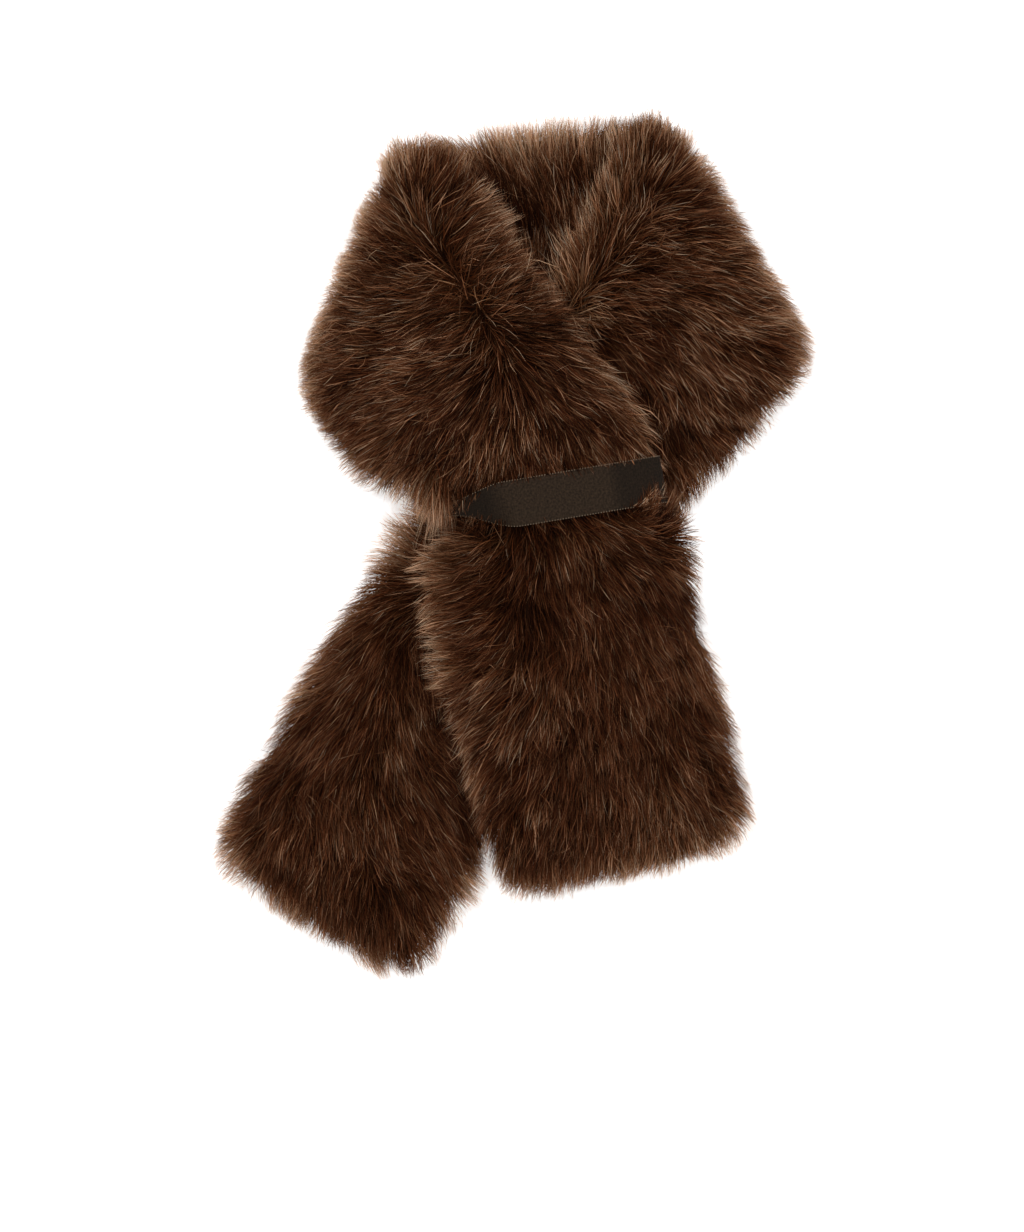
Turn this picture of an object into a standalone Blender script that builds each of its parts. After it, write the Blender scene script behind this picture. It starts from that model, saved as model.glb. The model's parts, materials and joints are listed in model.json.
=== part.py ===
"""Pull-through scarf in long-pile fur cloth, laid flat in its loop.

The scarf is one long tube of fur cloth with the fur outside. Its middle, the back
of the neck, lies on the surface. Both halves fold over at the shoulders and cross:
the under half runs on as the lower tail, and the over half passes over it, through
a ribbon loop that is sewn to the under half, and on as the front tail.

Each stretch that shows is one closed solid, out to the tips of its fur, made of
sections across the strip. The tables and the named sizes are in millimetres. +Y
points to the back of the neck, and +Z up from the surface that the scarf lies on.
"""
import math
from collections import namedtuple

import bmesh
import bpy
from mathutils import Vector

MM = 0.001

# The fur strip, with its pile standing
NECK_LOFT = 28.0          # thickness of the back of the neck under the folds
PRESSED_LOFT = 25.0       # thickness of the under half where the over half lies on it
LAYER_GAP = 0.9           # air between a stretch and the one it lies on
SEAM_GAP = 0.4            # air between two stretches that meet end to end

# The shape of a section across the strip
ACROSS_STEPS = 16         # facets from edge to edge
EDGE_HEIGHT = 0.36        # height of the rounded edge, as a share of the loft
CROWN_POWER = 2.8         # the higher, the flatter the top
FLAT_SHARE = 0.82         # share of the half width that is flat underneath

# The shoulder folds
FOLD_FOOT_ROW = 2.0       # the folded edge reaches the surface as far as this row
FOLD_STEP = 0.04          # rows over which the underside steps up to the layer below
FOLD_EDGE_HEIGHT = 0.42   # height of the folded edge, as a share of the whole stack
FOLD_TOP_REACH = 2.0      # rows over which the top rounds down to the fold
FOLD_UNDER_REACH = 1.0    # rows over which the underside rounds up to the fold

# The closed ends of the tails
HEM_REACH = 1.3           # rows over which a tail rounds off to its end
END_START = 0.06          # rows of the rounding that the end face takes away
END_HEIGHT = 0.42         # height of the end's edge, as a share of the loft

# Where the strip comes down from one layer to the next
NECK_SLOPE_LOW = 50.0     # y where a half reaches the surface in front of the neck
NECK_SLOPE_HIGH = 104.0   # y where it lies fully on the back of the neck
UNDER_SLOPE_REACH = 55.0  # distance over which the over half comes down off the under half
FREE_START = 4.0          # distance from the over half where the under half starts to rise
FREE_REACH = 30.0         # distance from the over half where its pile stands freely

# The ribbon loop and the waist of the over half inside it
RIBBON_WIDTH = 25.0
RIBBON_THICKNESS = 1.0
RIBBON_GAP = 0.5          # air between the ribbon and the pile it holds
RIBBON_ANGLE = 9.5        # degrees, the right end is the higher one
WAIST_X, WAIST_Y = 23.0, 26.4
WAIST_HALF_WIDTH = 59.8
WAIST_LOFT = 20.0
WAIST_ROOM = 2.2          # extra height over the under half for the ribbon's return
WAIST_HALF_LENGTH = 13.0  # the waist is straight this far to each side of its middle
WAIST_FADE = 34.0         # distance from the middle where the extra height is gone
RIBBON_RETURN = 0.55      # how far the ribbon runs back underneath, from the edge at 1
RIBBON_CLEAR = 14.0       # distance from the ribbon over which the pile's relief begins

# Relief of the pile
TUFT_REACH = 2.2          # how far the tufts at the edges stand out
TUFT_PHASE_INNER = 0.7    # where the tufts start along the inner edge
TUFT_PHASE_OUTER = 2.9    # where they start along the outer edge
TUFT_FADE = (20.0, 60.0)  # distances from the waist over which the tufts begin
LOCK_HEIGHT = 1.4         # height of the broad locks on the top
PARTING_DEPTH = 4.0
PARTING_HALF_WIDTH = 14.0
GATHER_HEIGHT = 2.2       # height of the gathers that run out from the ribbon
GATHER_COUNT = 4
GATHER_REACH = 30.0
NECK_ROLL = 3.0           # how far the back of the neck sinks into the V
NECK_CLEAR = 12.0         # distance from the halves over which its relief begins

# Places of the sections, in table rows
FOLD_STATIONS = [0.0, 0.12, 0.32, 0.6, 1.0, 1.5, FOLD_FOOT_ROW, FOLD_FOOT_ROW + FOLD_STEP]
AFTER_FOLD = 2.5          # first section past the fold
STATIONS_PER_ROW = 2
HEM_STATIONS = [0.75, 0.5, 0.28, 0.12, 0.0]   # rows left to the end
NECK_STATIONS = 14
SIDE_STEP = 0.1           # rows to each side of a place, to measure the strip's run there

Row = namedtuple("Row", "inner_x inner_y outer_x outer_y loft bow")
Point = namedtuple("Point", "x y")
Parting = namedtuple("Parting", "start_x start_y end_x end_y")
Wave = namedtuple("Wave", "share per_row phases")
Tuck = namedtuple("Tuck", "starts ends depth")
LockWave = namedtuple("LockWave", "length bend bend_length")

# Over half: sections from its shoulder fold down to the ribbon. The inner edge is
# the one beside the neck. The bow moves a section's middle along the strip.
OVER_ARM_ROWS = [
    Row(-66, 221, -118, 97, 30, 0),
    Row(-56, 225, -114, 78, 30, 0),
    Row(-45, 226, -107, 64, 30, 0),
    Row(-32, 221, -98, 51, 30, 0),
    Row(-17, 200, -88, 41, 30, 0),
    Row(-2, 174, -77, 34, 30, 0),
    Row(15, 147, -67, 29, 30, 0),
    Row(36, 121, -59, 27, 31, 0),
    Row(58, 97, -53, 28, 31, 0),
    Row(74, 76, -48, 31, 29, 0),
    Row(84, 56, -45, 32, 24, 0),
]

# Over half: sections from the ribbon down to the end of the front tail
OVER_TAIL_ROWS = [
    Row(96, 14, -45, -3, 27, 0),
    Row(102, 3, -49, -18, 32, 0),
    Row(106, -19, -48, -42, 34, 0),
    Row(110, -43, -43, -66, 34, 0),
    Row(116, -68, -36, -92, 34, 0),
    Row(122, -94, -30, -118, 34, 0),
    Row(128, -119, -23, -143, 34, 1),
    Row(131, -140, -17, -163, 34, 2),
    Row(129, -156, -9, -181, 34, 4),
    Row(115, -168, 7, -192, 34, 4),
]

# Under half: sections from its shoulder fold down to the end of the lower tail
UNDER_ROWS = [
    Row(96, 226, 163, 112, 30, -5),
    Row(82, 235, 161, 96, 30, -3),
    Row(71, 237, 155, 84, 30, 0),
    Row(58, 232, 147, 73, 30, 0),
    Row(49, 211, 138, 62, 30, 0),
    Row(41, 184, 127, 50, 30, 0),
    Row(27, 156, 114, 36, 30, 0),
    Row(5, 122, 100, 18, 30, 0),
    Row(-19, 88, 88, -5, 31, 0),
    Row(-38, 50, 73, -32, 32, 0),
    Row(-57, 14, 58, -60, 33, 0),
    Row(-76, -9, 41, -81, 34, 0),
    Row(-92, -32, 25, -102, 34, 0),
    Row(-107, -56, 10, -128, 34, 0),
    Row(-121, -82, -3, -154, 34, 1),
    Row(-135, -108, -17, -180, 34, 2),
    Row(-149, -134, -29, -203, 34, 4),
    Row(-160, -157, -42, -224, 34, 6),
    Row(-156, -174, -60, -236, 34, 8),
]
UNDER_SPLIT_ROW = 10

# Back of the neck: its lower and upper edge, from the left fold to the right one
NeckRow = namedtuple("NeckRow", "share lower_y upper_y")
NECK_ROWS = [
    NeckRow(0.0, 88, 224),
    NeckRow(0.35, 88, 225),
    NeckRow(0.65, 88, 231),
    NeckRow(1.0, 88, 237),
]

# Valleys where the pile parts
OVER_PARTINGS = [Parting(-51, 190, -2, 101), Parting(7, 0, 13, -52)]
UNDER_PARTINGS = [Parting(78, 191, 40, 146)]

# The tufts along an edge, and the two crossed waves of locks on a top
TUFT_WAVES = [Wave(0.6, 2.1, 1.0), Wave(0.4, 3.7, 2.0)]
LOCKS_X = LockWave(8.0, 1.7, 21.0)
LOCKS_Y = LockWave(10.0, 1.3, 17.0)

# The ribbon's edges draw together towards its left end
TUCK_HIGH = Tuck(26.0, 58.0, 6.5)
TUCK_LOW = Tuck(20.0, 58.0, 12.0)

FUR_COLOUR = (0.045, 0.022, 0.012, 1.0)
FUR_ROUGHNESS = 0.9
RIBBON_COLOUR = (0.022, 0.017, 0.014, 1.0)
RIBBON_ROUGHNESS = 0.7


def mix(first, second, share):
    """Blend two values."""
    return first + (second - first) * share


def smoothstep(start, end, value):
    """Rise smoothly from 0 at the start to 1 at the end."""
    share = min(1.0, max(0.0, (value - start) / (end - start)))
    return share * share * (3.0 - 2.0 * share)


def slope(before, here, after):
    """Slope at a table row that never overshoots its neighbours."""
    step_in = here - before
    step_out = after - here
    if step_in * step_out <= 0.0:
        return 0.0
    return 2.0 * step_in * step_out / (step_in + step_out)


def row_at(rows, position):
    """Read a table of rows at any position between them."""
    index = min(int(position), len(rows) - 2)
    share = position - index
    here, after = rows[index], rows[index + 1]
    before = rows[index - 1] if index > 0 else None
    beyond = rows[index + 2] if index + 2 < len(rows) else None
    values = []
    for column in range(len(here)):
        step = after[column] - here[column]
        slope_in = slope(before[column], here[column], after[column]) if before else step
        slope_out = slope(here[column], after[column], beyond[column]) if beyond else step
        square, cube = share ** 2, share ** 3
        values.append(
            here[column] * (2 * cube - 3 * square + 1)
            + slope_in * (cube - 2 * square + share)
            + after[column] * (3 * square - 2 * cube)
            + slope_out * (cube - square)
        )
    return type(here)(*values)


def waist_rows():
    """The three straight sections that lie inside the ribbon."""
    angle = math.radians(RIBBON_ANGLE)
    along = Point(math.cos(angle), math.sin(angle))
    rows = []
    for offset in (WAIST_HALF_LENGTH, 0.0, -WAIST_HALF_LENGTH):
        middle_x = WAIST_X - along.y * offset
        middle_y = WAIST_Y + along.x * offset
        reach_x = along.x * WAIST_HALF_WIDTH
        reach_y = along.y * WAIST_HALF_WIDTH
        rows.append(Row(middle_x + reach_x, middle_y + reach_y,
                        middle_x - reach_x, middle_y - reach_y, WAIST_LOFT, 0))
    return rows


OVER_ROWS = OVER_ARM_ROWS + waist_rows() + OVER_TAIL_ROWS
WAIST_ROW = len(OVER_ARM_ROWS) + 1


def outline_of(rows):
    """The strip's outline in plan, round from its inner edge to its outer one."""
    inner = [Point(row.inner_x, row.inner_y) for row in rows]
    outer = [Point(row.outer_x, row.outer_y) for row in rows]
    return inner + outer[::-1]


OVER_OUTLINE = outline_of(OVER_ROWS)
UNDER_OUTLINE = outline_of(UNDER_ROWS)


def distance_to_line(point, start, end):
    """Distance in plan from a point to the line between two others."""
    run_x, run_y = end.x - start.x, end.y - start.y
    length_squared = run_x ** 2 + run_y ** 2
    share = ((point.x - start.x) * run_x + (point.y - start.y) * run_y) / length_squared
    share = min(1.0, max(0.0, share))
    return math.hypot(point.x - start.x - run_x * share, point.y - start.y - run_y * share)


def distance_outside(point, outline):
    """Distance from a point to an outline in plan, and 0 inside it."""
    inside = False
    nearest = math.inf
    for start, end in zip(outline, outline[1:] + outline[:1]):
        nearest = min(nearest, distance_to_line(point, start, end))
        if (start.y > point.y) != (end.y > point.y):
            crossing = start.x + (point.y - start.y) / (end.y - start.y) * (end.x - start.x)
            inside = inside != (point.x < crossing)
    return 0.0 if inside else nearest


def waist_distance(point):
    """Distance from the middle line of the ribbon, to either side of it."""
    angle = math.radians(RIBBON_ANGLE)
    along = (point.x - WAIST_X) * math.cos(angle) + (point.y - WAIST_Y) * math.sin(angle)
    away = (point.y - WAIST_Y) * math.cos(angle) - (point.x - WAIST_X) * math.sin(angle)
    past_edge = max(0.0, abs(along) - WAIST_HALF_WIDTH)
    return math.hypot(away, past_edge)


def neck_support(point):
    """Height of the underside of the under half: it comes down off the back of the neck."""
    return (NECK_LOFT + LAYER_GAP) * smoothstep(NECK_SLOPE_LOW, NECK_SLOPE_HIGH, point.y)


def over_support(point):
    """Height of the underside of the over half, which lies on the under half."""
    off_under = distance_outside(point, UNDER_OUTLINE)
    on_under = 1.0 - smoothstep(0.0, UNDER_SLOPE_REACH, off_under)
    room = 1.0 - smoothstep(WAIST_HALF_LENGTH + 1.0, WAIST_FADE, waist_distance(point))
    return neck_support(point) + (PRESSED_LOFT + LAYER_GAP) * on_under + WAIST_ROOM * room


def under_loft(point, row):
    """Thickness of the under half: pressed under the over half, free beside it."""
    beside = distance_outside(point, OVER_OUTLINE)
    return mix(PRESSED_LOFT, row.loft, smoothstep(FREE_START, FREE_REACH, beside))


def over_loft(point, row):
    """Thickness of the over half, which nothing presses but the ribbon."""
    return row.loft


def bent_wave(wave, along, beside):
    """A wave along one axis that a slower wave along the other axis bends."""
    return math.sin(along / wave.length + wave.bend * math.sin(beside / wave.bend_length))


def locks(point):
    """Broad locks of the pile, as two crossed waves that bend each other."""
    return LOCK_HEIGHT * bent_wave(LOCKS_X, point.x, point.y) * bent_wave(LOCKS_Y, point.y, point.x)


def parting_depth(point, partings):
    """Depth of the valleys where the pile parts."""
    depth = 0.0
    for parting in partings:
        start = Point(parting.start_x, parting.start_y)
        end = Point(parting.end_x, parting.end_y)
        away = distance_to_line(point, start, end) / PARTING_HALF_WIDTH
        depth += PARTING_DEPTH * math.exp(-away ** 2)
    return depth


def over_relief(point, across):
    """Relief on the top of the over half, none of it inside the ribbon."""
    past_ribbon = max(0.0, waist_distance(point) - WAIST_HALF_LENGTH)
    clear = smoothstep(0.0, RIBBON_CLEAR, past_ribbon)
    gathers = -GATHER_HEIGHT * math.cos(GATHER_COUNT * math.pi * across)
    gathers *= math.exp(-past_ribbon / GATHER_REACH)
    return clear * (locks(point) + gathers - parting_depth(point, OVER_PARTINGS))


def under_relief(point, across):
    """Relief on the top of the under half, none of it below the over half."""
    clear = smoothstep(FREE_START, FREE_REACH, distance_outside(point, OVER_OUTLINE))
    return clear * (locks(point) - parting_depth(point, UNDER_PARTINGS))


def tuft(position, point, phase):
    """How far the edge's tufts stand out at a point on the edge."""
    clear = smoothstep(*TUFT_FADE, waist_distance(point))
    waves = [wave.share * math.sin(wave.per_row * position + wave.phases * phase)
             for wave in TUFT_WAVES]
    return TUFT_REACH * clear * sum(waves)


def round_over(distance, reach):
    """Quarter-circle rise from an end, 1 once the reach is passed."""
    share = min(1.0, (distance + END_START) / (reach + END_START))
    return math.sqrt(1.0 - (1.0 - share) ** 2)


Stretch = namedtuple("Stretch", "rows support loft relief")
OVER_HALF = Stretch(OVER_ROWS, over_support, over_loft, over_relief)
UNDER_HALF = Stretch(UNDER_ROWS, neck_support, under_loft, under_relief)


def section_edges(rows, position):
    """Inner and outer end of a section with their tufts, and its table row."""
    row = row_at(rows, position)
    inner = Vector((row.inner_x, row.inner_y))
    outer = Vector((row.outer_x, row.outer_y))
    outward = (outer - inner).normalized()
    inner -= outward * tuft(position, inner, TUFT_PHASE_INNER)
    outer += outward * tuft(position, outer, TUFT_PHASE_OUTER)
    return inner, outer, row


def run_direction(rows, position):
    """Direction of the strip in plan at a section."""
    middles = []
    for place in (max(0.0, position - SIDE_STEP), min(len(rows) - 1.0, position + SIDE_STEP)):
        row = row_at(rows, place)
        middles.append(Vector((row.inner_x + row.outer_x, row.inner_y + row.outer_y)))
    return (middles[1] - middles[0]).normalized()


def across_places():
    """Places across the strip from its inner edge at -1 to its outer edge at 1, closest there."""
    return [math.sin((2 * step / ACROSS_STEPS - 1) * math.pi / 2)
            for step in range(ACROSS_STEPS + 1)]


def crown_share(across):
    """Height of the top over the edge, from 0 at an edge to 1 in the middle."""
    return math.sqrt(1.0 - min(1.0, abs(across) ** CROWN_POWER))


def tuck_share(across):
    """Height of the underside, from 0 where it is flat to 1 at an edge."""
    past_flat = max(0.0, (abs(across) - FLAT_SHARE) / (1.0 - FLAT_SHARE))
    return 1.0 - math.sqrt(1.0 - min(1.0, past_flat ** 2))


def section_ring(half, position):
    """Points round a section of a half: over its top from edge to edge, and back underneath."""
    inner, outer, row = section_edges(half.rows, position)
    bow = run_direction(half.rows, position) * row.bow
    last = len(half.rows) - 1.0
    hem = round_over(last - position, HEM_REACH)
    top_round = min(hem, round_over(position, FOLD_TOP_REACH))
    under_round = min(hem, round_over(position, FOLD_UNDER_REACH))
    folded = 1.0 - smoothstep(0.0, FOLD_FOOT_ROW, position)
    top_points, under_points = [], []
    for across in across_places():
        plan = (inner + outer) / 2 + (outer - inner) / 2 * across + bow * (1.0 - across ** 2)
        base = half.support(plan)
        loft = half.loft(plan, row)
        foot = 0.0 if position <= FOLD_FOOT_ROW else base
        edge = mix(base + EDGE_HEIGHT * loft, FOLD_EDGE_HEIGHT * (base + loft), folded)
        top = mix(edge, base + loft + half.relief(plan, across), crown_share(across))
        under = mix(foot, edge, tuck_share(across))
        middle = mix(under, top, END_HEIGHT)
        top_points.append(Vector((plan.x, plan.y, mix(middle, top, top_round))))
        under_points.append(Vector((plan.x, plan.y, mix(middle, under, under_round))))
    return top_points + under_points[-2:0:-1]


def neck_ends():
    """The neck's left and right end lines, just clear of the steps under the two folds."""
    ends = []
    for rows, side in ((OVER_ROWS, 1.0), (UNDER_ROWS, -1.0)):
        step = row_at(rows, FOLD_FOOT_ROW + FOLD_STEP)
        start = Vector((step.inner_x, step.inner_y))
        run = (Vector((step.outer_x, step.outer_y)) - start).normalized()
        clear = SEAM_GAP / abs(run.y)
        ends.append((start + Vector((side * clear, 0.0)), run))
    return ends


def neck_ring(share):
    """Points round a section of the back of the neck, from its lower edge to its upper one."""
    last = len(NECK_ROWS) - 1
    index = max(i for i, row in enumerate(NECK_ROWS) if row.share <= share)
    index = min(index, last - 1)
    start, end = NECK_ROWS[index], NECK_ROWS[index + 1]
    position = index + (share - start.share) / (end.share - start.share)
    row = row_at(NECK_ROWS, position)
    plan_ends = []
    for level in (row.lower_y, row.upper_y):
        crossings = [line.x + run.x * (level - line.y) / run.y for line, run in neck_ends()]
        plan_ends.append(Vector((mix(*crossings, share), level)))
    lower, upper = plan_ends
    top_points, under_points = [], []
    for across in across_places():
        plan = (lower + upper) / 2 + (upper - lower) / 2 * across
        beside = min(distance_outside(plan, OVER_OUTLINE), distance_outside(plan, UNDER_OUTLINE))
        clear = smoothstep(0.0, NECK_CLEAR, beside)
        edge = EDGE_HEIGHT * NECK_LOFT
        top = mix(edge, NECK_LOFT + clear * (locks(plan) - NECK_ROLL), crown_share(across))
        under = edge * tuck_share(across)
        top_points.append(Vector((plan.x, plan.y, top)))
        under_points.append(Vector((plan.x, plan.y, under)))
    return top_points + under_points[-2:0:-1]


def even_stations(first, last):
    """Evenly spaced places between two rows, with both ends."""
    count = round((last - first) * STATIONS_PER_ROW)
    return [first + (last - first) * step / count for step in range(count + 1)]


def rows_for_gap(rows, position):
    """Half a seam's gap, in rows, at a place where a half is split."""
    before, after = row_at(rows, position - SIDE_STEP), row_at(rows, position + SIDE_STEP)
    inner = math.hypot(after.inner_x - before.inner_x, after.inner_y - before.inner_y)
    outer = math.hypot(after.outer_x - before.outer_x, after.outer_y - before.outer_y)
    return SIDE_STEP * SEAM_GAP / min(inner, outer)


def bridge_rings(mesh, rings):
    """Skin a row of equal rings, and close both ends across the strip."""
    loops = [[mesh.verts.new(point * MM) for point in ring] for ring in rings]
    count = len(loops[0])
    for first, second in zip(loops, loops[1:]):
        for index in range(count):
            after = (index + 1) % count
            mesh.faces.new((first[index], first[after], second[after], second[index]))
    for loop in (loops[0], loops[-1]):
        for index in range(count // 2):
            top = loop[index], loop[index + 1]
            under = loop[-index - 1], loop[-index]
            corners = list(dict.fromkeys((*top, *under)))
            mesh.faces.new(corners)


def add_solid(name, rings, material):
    """Make one closed solid from its rings, with smooth shading."""
    shape = bmesh.new()
    bridge_rings(shape, rings)
    bmesh.ops.triangulate(shape, faces=shape.faces[:], quad_method="SHORT_EDGE")
    bmesh.ops.recalc_face_normals(shape, faces=shape.faces[:])
    mesh = bpy.data.meshes.new(name)
    shape.to_mesh(mesh)
    shape.free()
    mesh.materials.append(material)
    mesh.shade_smooth()
    solid = bpy.data.objects.new(name, mesh)
    bpy.context.collection.objects.link(solid)
    return solid


def make_material(name, colour, roughness):
    """A plain Principled BSDF material."""
    material = bpy.data.materials.new(name)
    material.use_nodes = True
    shader = material.node_tree.nodes["Principled BSDF"]
    shader.inputs["Base Color"].default_value = colour
    shader.inputs["Roughness"].default_value = roughness
    shader.inputs["Metallic"].default_value = 0.0
    material.diffuse_color = colour
    return material


def make_neck(material):
    """The back of the neck, between the two shoulder folds."""
    rings = [neck_ring(station / (NECK_STATIONS - 1)) for station in range(NECK_STATIONS)]
    return add_solid("back_neck", rings, material)


def make_halves(material):
    """The two halves of the strip, each split into its arm and its tail."""
    solids = []
    for half, split, names in (
        (UNDER_HALF, UNDER_SPLIT_ROW, ("under_arm", "under_tail")),
        (OVER_HALF, WAIST_ROW, ("over_arm", "over_tail")),
    ):
        gap = rows_for_gap(half.rows, split)
        last = len(half.rows) - 1
        arm = FOLD_STATIONS + even_stations(AFTER_FOLD, split - 1) + [split - gap]
        tail = [split + gap] + even_stations(split + 1, last - 1)
        tail += [last - left for left in HEM_STATIONS]
        for name, stations in zip(names, (arm, tail)):
            rings = [section_ring(half, station) for station in stations]
            solids.append(add_solid(name, rings, material))
    return solids


def ribbon_edges(along):
    """Lower and upper edge of the ribbon at a place along its line: it narrows at the left."""
    half = RIBBON_WIDTH / 2
    high = half - TUCK_HIGH.depth * smoothstep(TUCK_HIGH.starts, TUCK_HIGH.ends, -along)
    low = TUCK_LOW.depth * smoothstep(TUCK_LOW.starts, TUCK_LOW.ends, -along) - half
    return low, high


def ribbon_path():
    """The waist's section as (along, height), from below its right edge round to below its left."""
    ring = section_ring(OVER_HALF, float(WAIST_ROW))
    angle = math.radians(RIBBON_ANGLE)
    flat = []
    for point in ring:
        along = (point.x - WAIST_X) * math.cos(angle) + (point.y - WAIST_Y) * math.sin(angle)
        flat.append(Vector((along, point.z)))
    top, under = flat[:ACROSS_STEPS + 1], flat[ACROSS_STEPS + 1:]
    limit = RIBBON_RETURN * WAIST_HALF_WIDTH
    right = [point for point in under if point.x > limit]
    left = [point for point in under if point.x < -limit]
    return right + top + left


def moved_out(path, distance):
    """The same path moved out from the section by a distance, corner by corner."""
    moved = []
    for index, point in enumerate(path):
        before = path[max(index - 1, 0)]
        after = path[min(index + 1, len(path) - 1)]
        normals = []
        for start, end in ((before, point), (point, after)):
            run = end - start
            if run.length > 0.0:
                normals.append(Vector((-run.y, run.x)).normalized())
        normal = (normals[0] + normals[-1]).normalized()
        moved.append(point - normal * distance / normal.dot(normals[0]))
    return moved


def make_ribbon(material):
    """The open loop of ribbon: over the waist, round both edges and back underneath."""
    path = ribbon_path()
    inside = moved_out(path, RIBBON_GAP)
    outside = moved_out(path, RIBBON_GAP + RIBBON_THICKNESS)
    angle = math.radians(RIBBON_ANGLE)
    rings = []
    for near, far in zip(inside, outside):
        ring = []
        for point, edge in ((near, 0), (far, 0), (far, 1), (near, 1)):
            away = ribbon_edges(near.x)[edge]
            ring.append(Vector((
                WAIST_X + point.x * math.cos(angle) - away * math.sin(angle),
                WAIST_Y + point.x * math.sin(angle) + away * math.cos(angle),
                point.y,
            )))
        rings.append(ring)
    return add_solid("ribbon_loop", rings, material)


def centre_on_origin(solids):
    """Put the middle of the whole scarf's box over the origin."""
    corners = [vertex.co for solid in solids for vertex in solid.data.vertices]
    middle_x = (min(c.x for c in corners) + max(c.x for c in corners)) / 2
    middle_y = (min(c.y for c in corners) + max(c.y for c in corners)) / 2
    for solid in solids:
        solid.location = (-middle_x, -middle_y, 0.0)


def main():
    """Build the scarf."""
    for old in list(bpy.data.objects):
        bpy.data.objects.remove(old)
    fur = make_material("fur_cloth", FUR_COLOUR, FUR_ROUGHNESS)
    ribbon = make_material("ribbon", RIBBON_COLOUR, RIBBON_ROUGHNESS)
    solids = [make_neck(fur)] + make_halves(fur) + [make_ribbon(ribbon)]
    centre_on_origin(solids)


main()
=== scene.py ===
"""Looks of a pull-through scarf in long-pile fur cloth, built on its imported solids.

Each stretch of the strip is a tube of cloth inside its solid, with long hair and short
wool that reach out to the solid's surface and are combed as the real pile lies.
The ribbon loop is a woven band with picot edges. Tables and named sizes are in
millimetres, in the frame that the solids' tables use.
"""
import json
import math

import bpy
import numpy as np
from bpy.props import FloatProperty, FloatVectorProperty, IntProperty, PointerProperty
from bpy.props import StringProperty
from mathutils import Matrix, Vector
from mathutils.bvhtree import BVHTree
from mathutils.kdtree import KDTree

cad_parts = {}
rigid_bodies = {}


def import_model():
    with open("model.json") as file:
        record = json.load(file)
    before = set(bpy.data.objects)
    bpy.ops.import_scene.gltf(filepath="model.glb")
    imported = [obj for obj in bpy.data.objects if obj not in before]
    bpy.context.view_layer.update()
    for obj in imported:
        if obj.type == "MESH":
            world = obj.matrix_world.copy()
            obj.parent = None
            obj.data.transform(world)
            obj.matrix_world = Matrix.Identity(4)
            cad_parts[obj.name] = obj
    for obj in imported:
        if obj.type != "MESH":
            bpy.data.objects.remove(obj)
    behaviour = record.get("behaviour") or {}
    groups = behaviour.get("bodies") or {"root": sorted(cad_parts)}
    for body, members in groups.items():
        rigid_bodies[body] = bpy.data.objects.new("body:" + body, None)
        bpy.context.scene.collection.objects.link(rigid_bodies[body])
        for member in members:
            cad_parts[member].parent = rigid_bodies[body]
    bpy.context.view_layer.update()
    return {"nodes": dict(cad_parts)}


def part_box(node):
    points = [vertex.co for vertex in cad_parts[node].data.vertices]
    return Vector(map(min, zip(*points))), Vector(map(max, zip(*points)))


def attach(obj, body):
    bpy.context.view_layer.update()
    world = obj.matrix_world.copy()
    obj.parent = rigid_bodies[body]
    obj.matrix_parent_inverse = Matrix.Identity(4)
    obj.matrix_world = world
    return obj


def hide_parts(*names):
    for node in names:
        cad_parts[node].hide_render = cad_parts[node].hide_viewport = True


for old in list(bpy.data.objects):
    bpy.data.objects.remove(old)
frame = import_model()

bl_info = {
    "name": "Fur scarf",
    "version": (1, 0, 0),
    "blender": (4, 5, 0),
    "location": "View3D > Sidebar > Fur scarf",
    "description": "Dresses the packed solids of a pull-through fur scarf",
    "category": "Object",
}

MM = 0.001

# The solids stand this far from the tables' zero
CENTRE_X, CENTRE_Y = 1.55, 0.48

# Sections across the strip: inner x, inner y, outer x, outer y, bow of the middle
OVER_ROWS = [
    (-66, 221, -118, 97, 0), (-56, 225, -114, 78, 0), (-45, 226, -107, 64, 0),
    (-32, 221, -98, 51, 0), (-17, 200, -88, 41, 0), (-2, 174, -77, 34, 0),
    (15, 147, -67, 29, 0), (36, 121, -59, 27, 0), (58, 97, -53, 28, 0),
    (74, 76, -48, 31, 0), (84, 56, -45, 32, 0), (79.8, 49.1, -38.1, 29.4, 0),
    (82.0, 36.3, -36.0, 16.5, 0), (84.1, 23.5, -33.8, 3.7, 0), (96, 14, -45, -3, 0),
    (102, 3, -49, -18, 0), (106, -19, -48, -42, 0), (110, -43, -43, -66, 0),
    (116, -68, -36, -92, 0), (122, -94, -30, -118, 0), (128, -119, -23, -143, 1),
    (131, -140, -17, -163, 2), (129, -156, -9, -181, 4), (115, -168, 7, -192, 4),
]
UNDER_ROWS = [
    (96, 226, 163, 112, -5), (82, 235, 161, 96, -3), (71, 237, 155, 84, 0),
    (58, 232, 147, 73, 0), (49, 211, 138, 62, 0), (41, 184, 127, 50, 0),
    (27, 156, 114, 36, 0), (5, 122, 100, 18, 0), (-19, 88, 88, -5, 0),
    (-38, 50, 73, -32, 0), (-57, 14, 58, -60, 0), (-76, -9, 41, -81, 0),
    (-92, -32, 25, -102, 0), (-107, -56, 10, -128, 0), (-121, -82, -3, -154, 1),
    (-135, -108, -17, -180, 2), (-149, -134, -29, -203, 4), (-160, -157, -42, -224, 6),
    (-156, -174, -60, -236, 8),
]
NECK_ROWS = [
    (-97, 88, -45, 224, 0), (-9.9, 88, -4.4, 225, 0),
    (64.8, 88, 30.4, 231, 0), (151.8, 88, 70.5, 237, 0),
]

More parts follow.
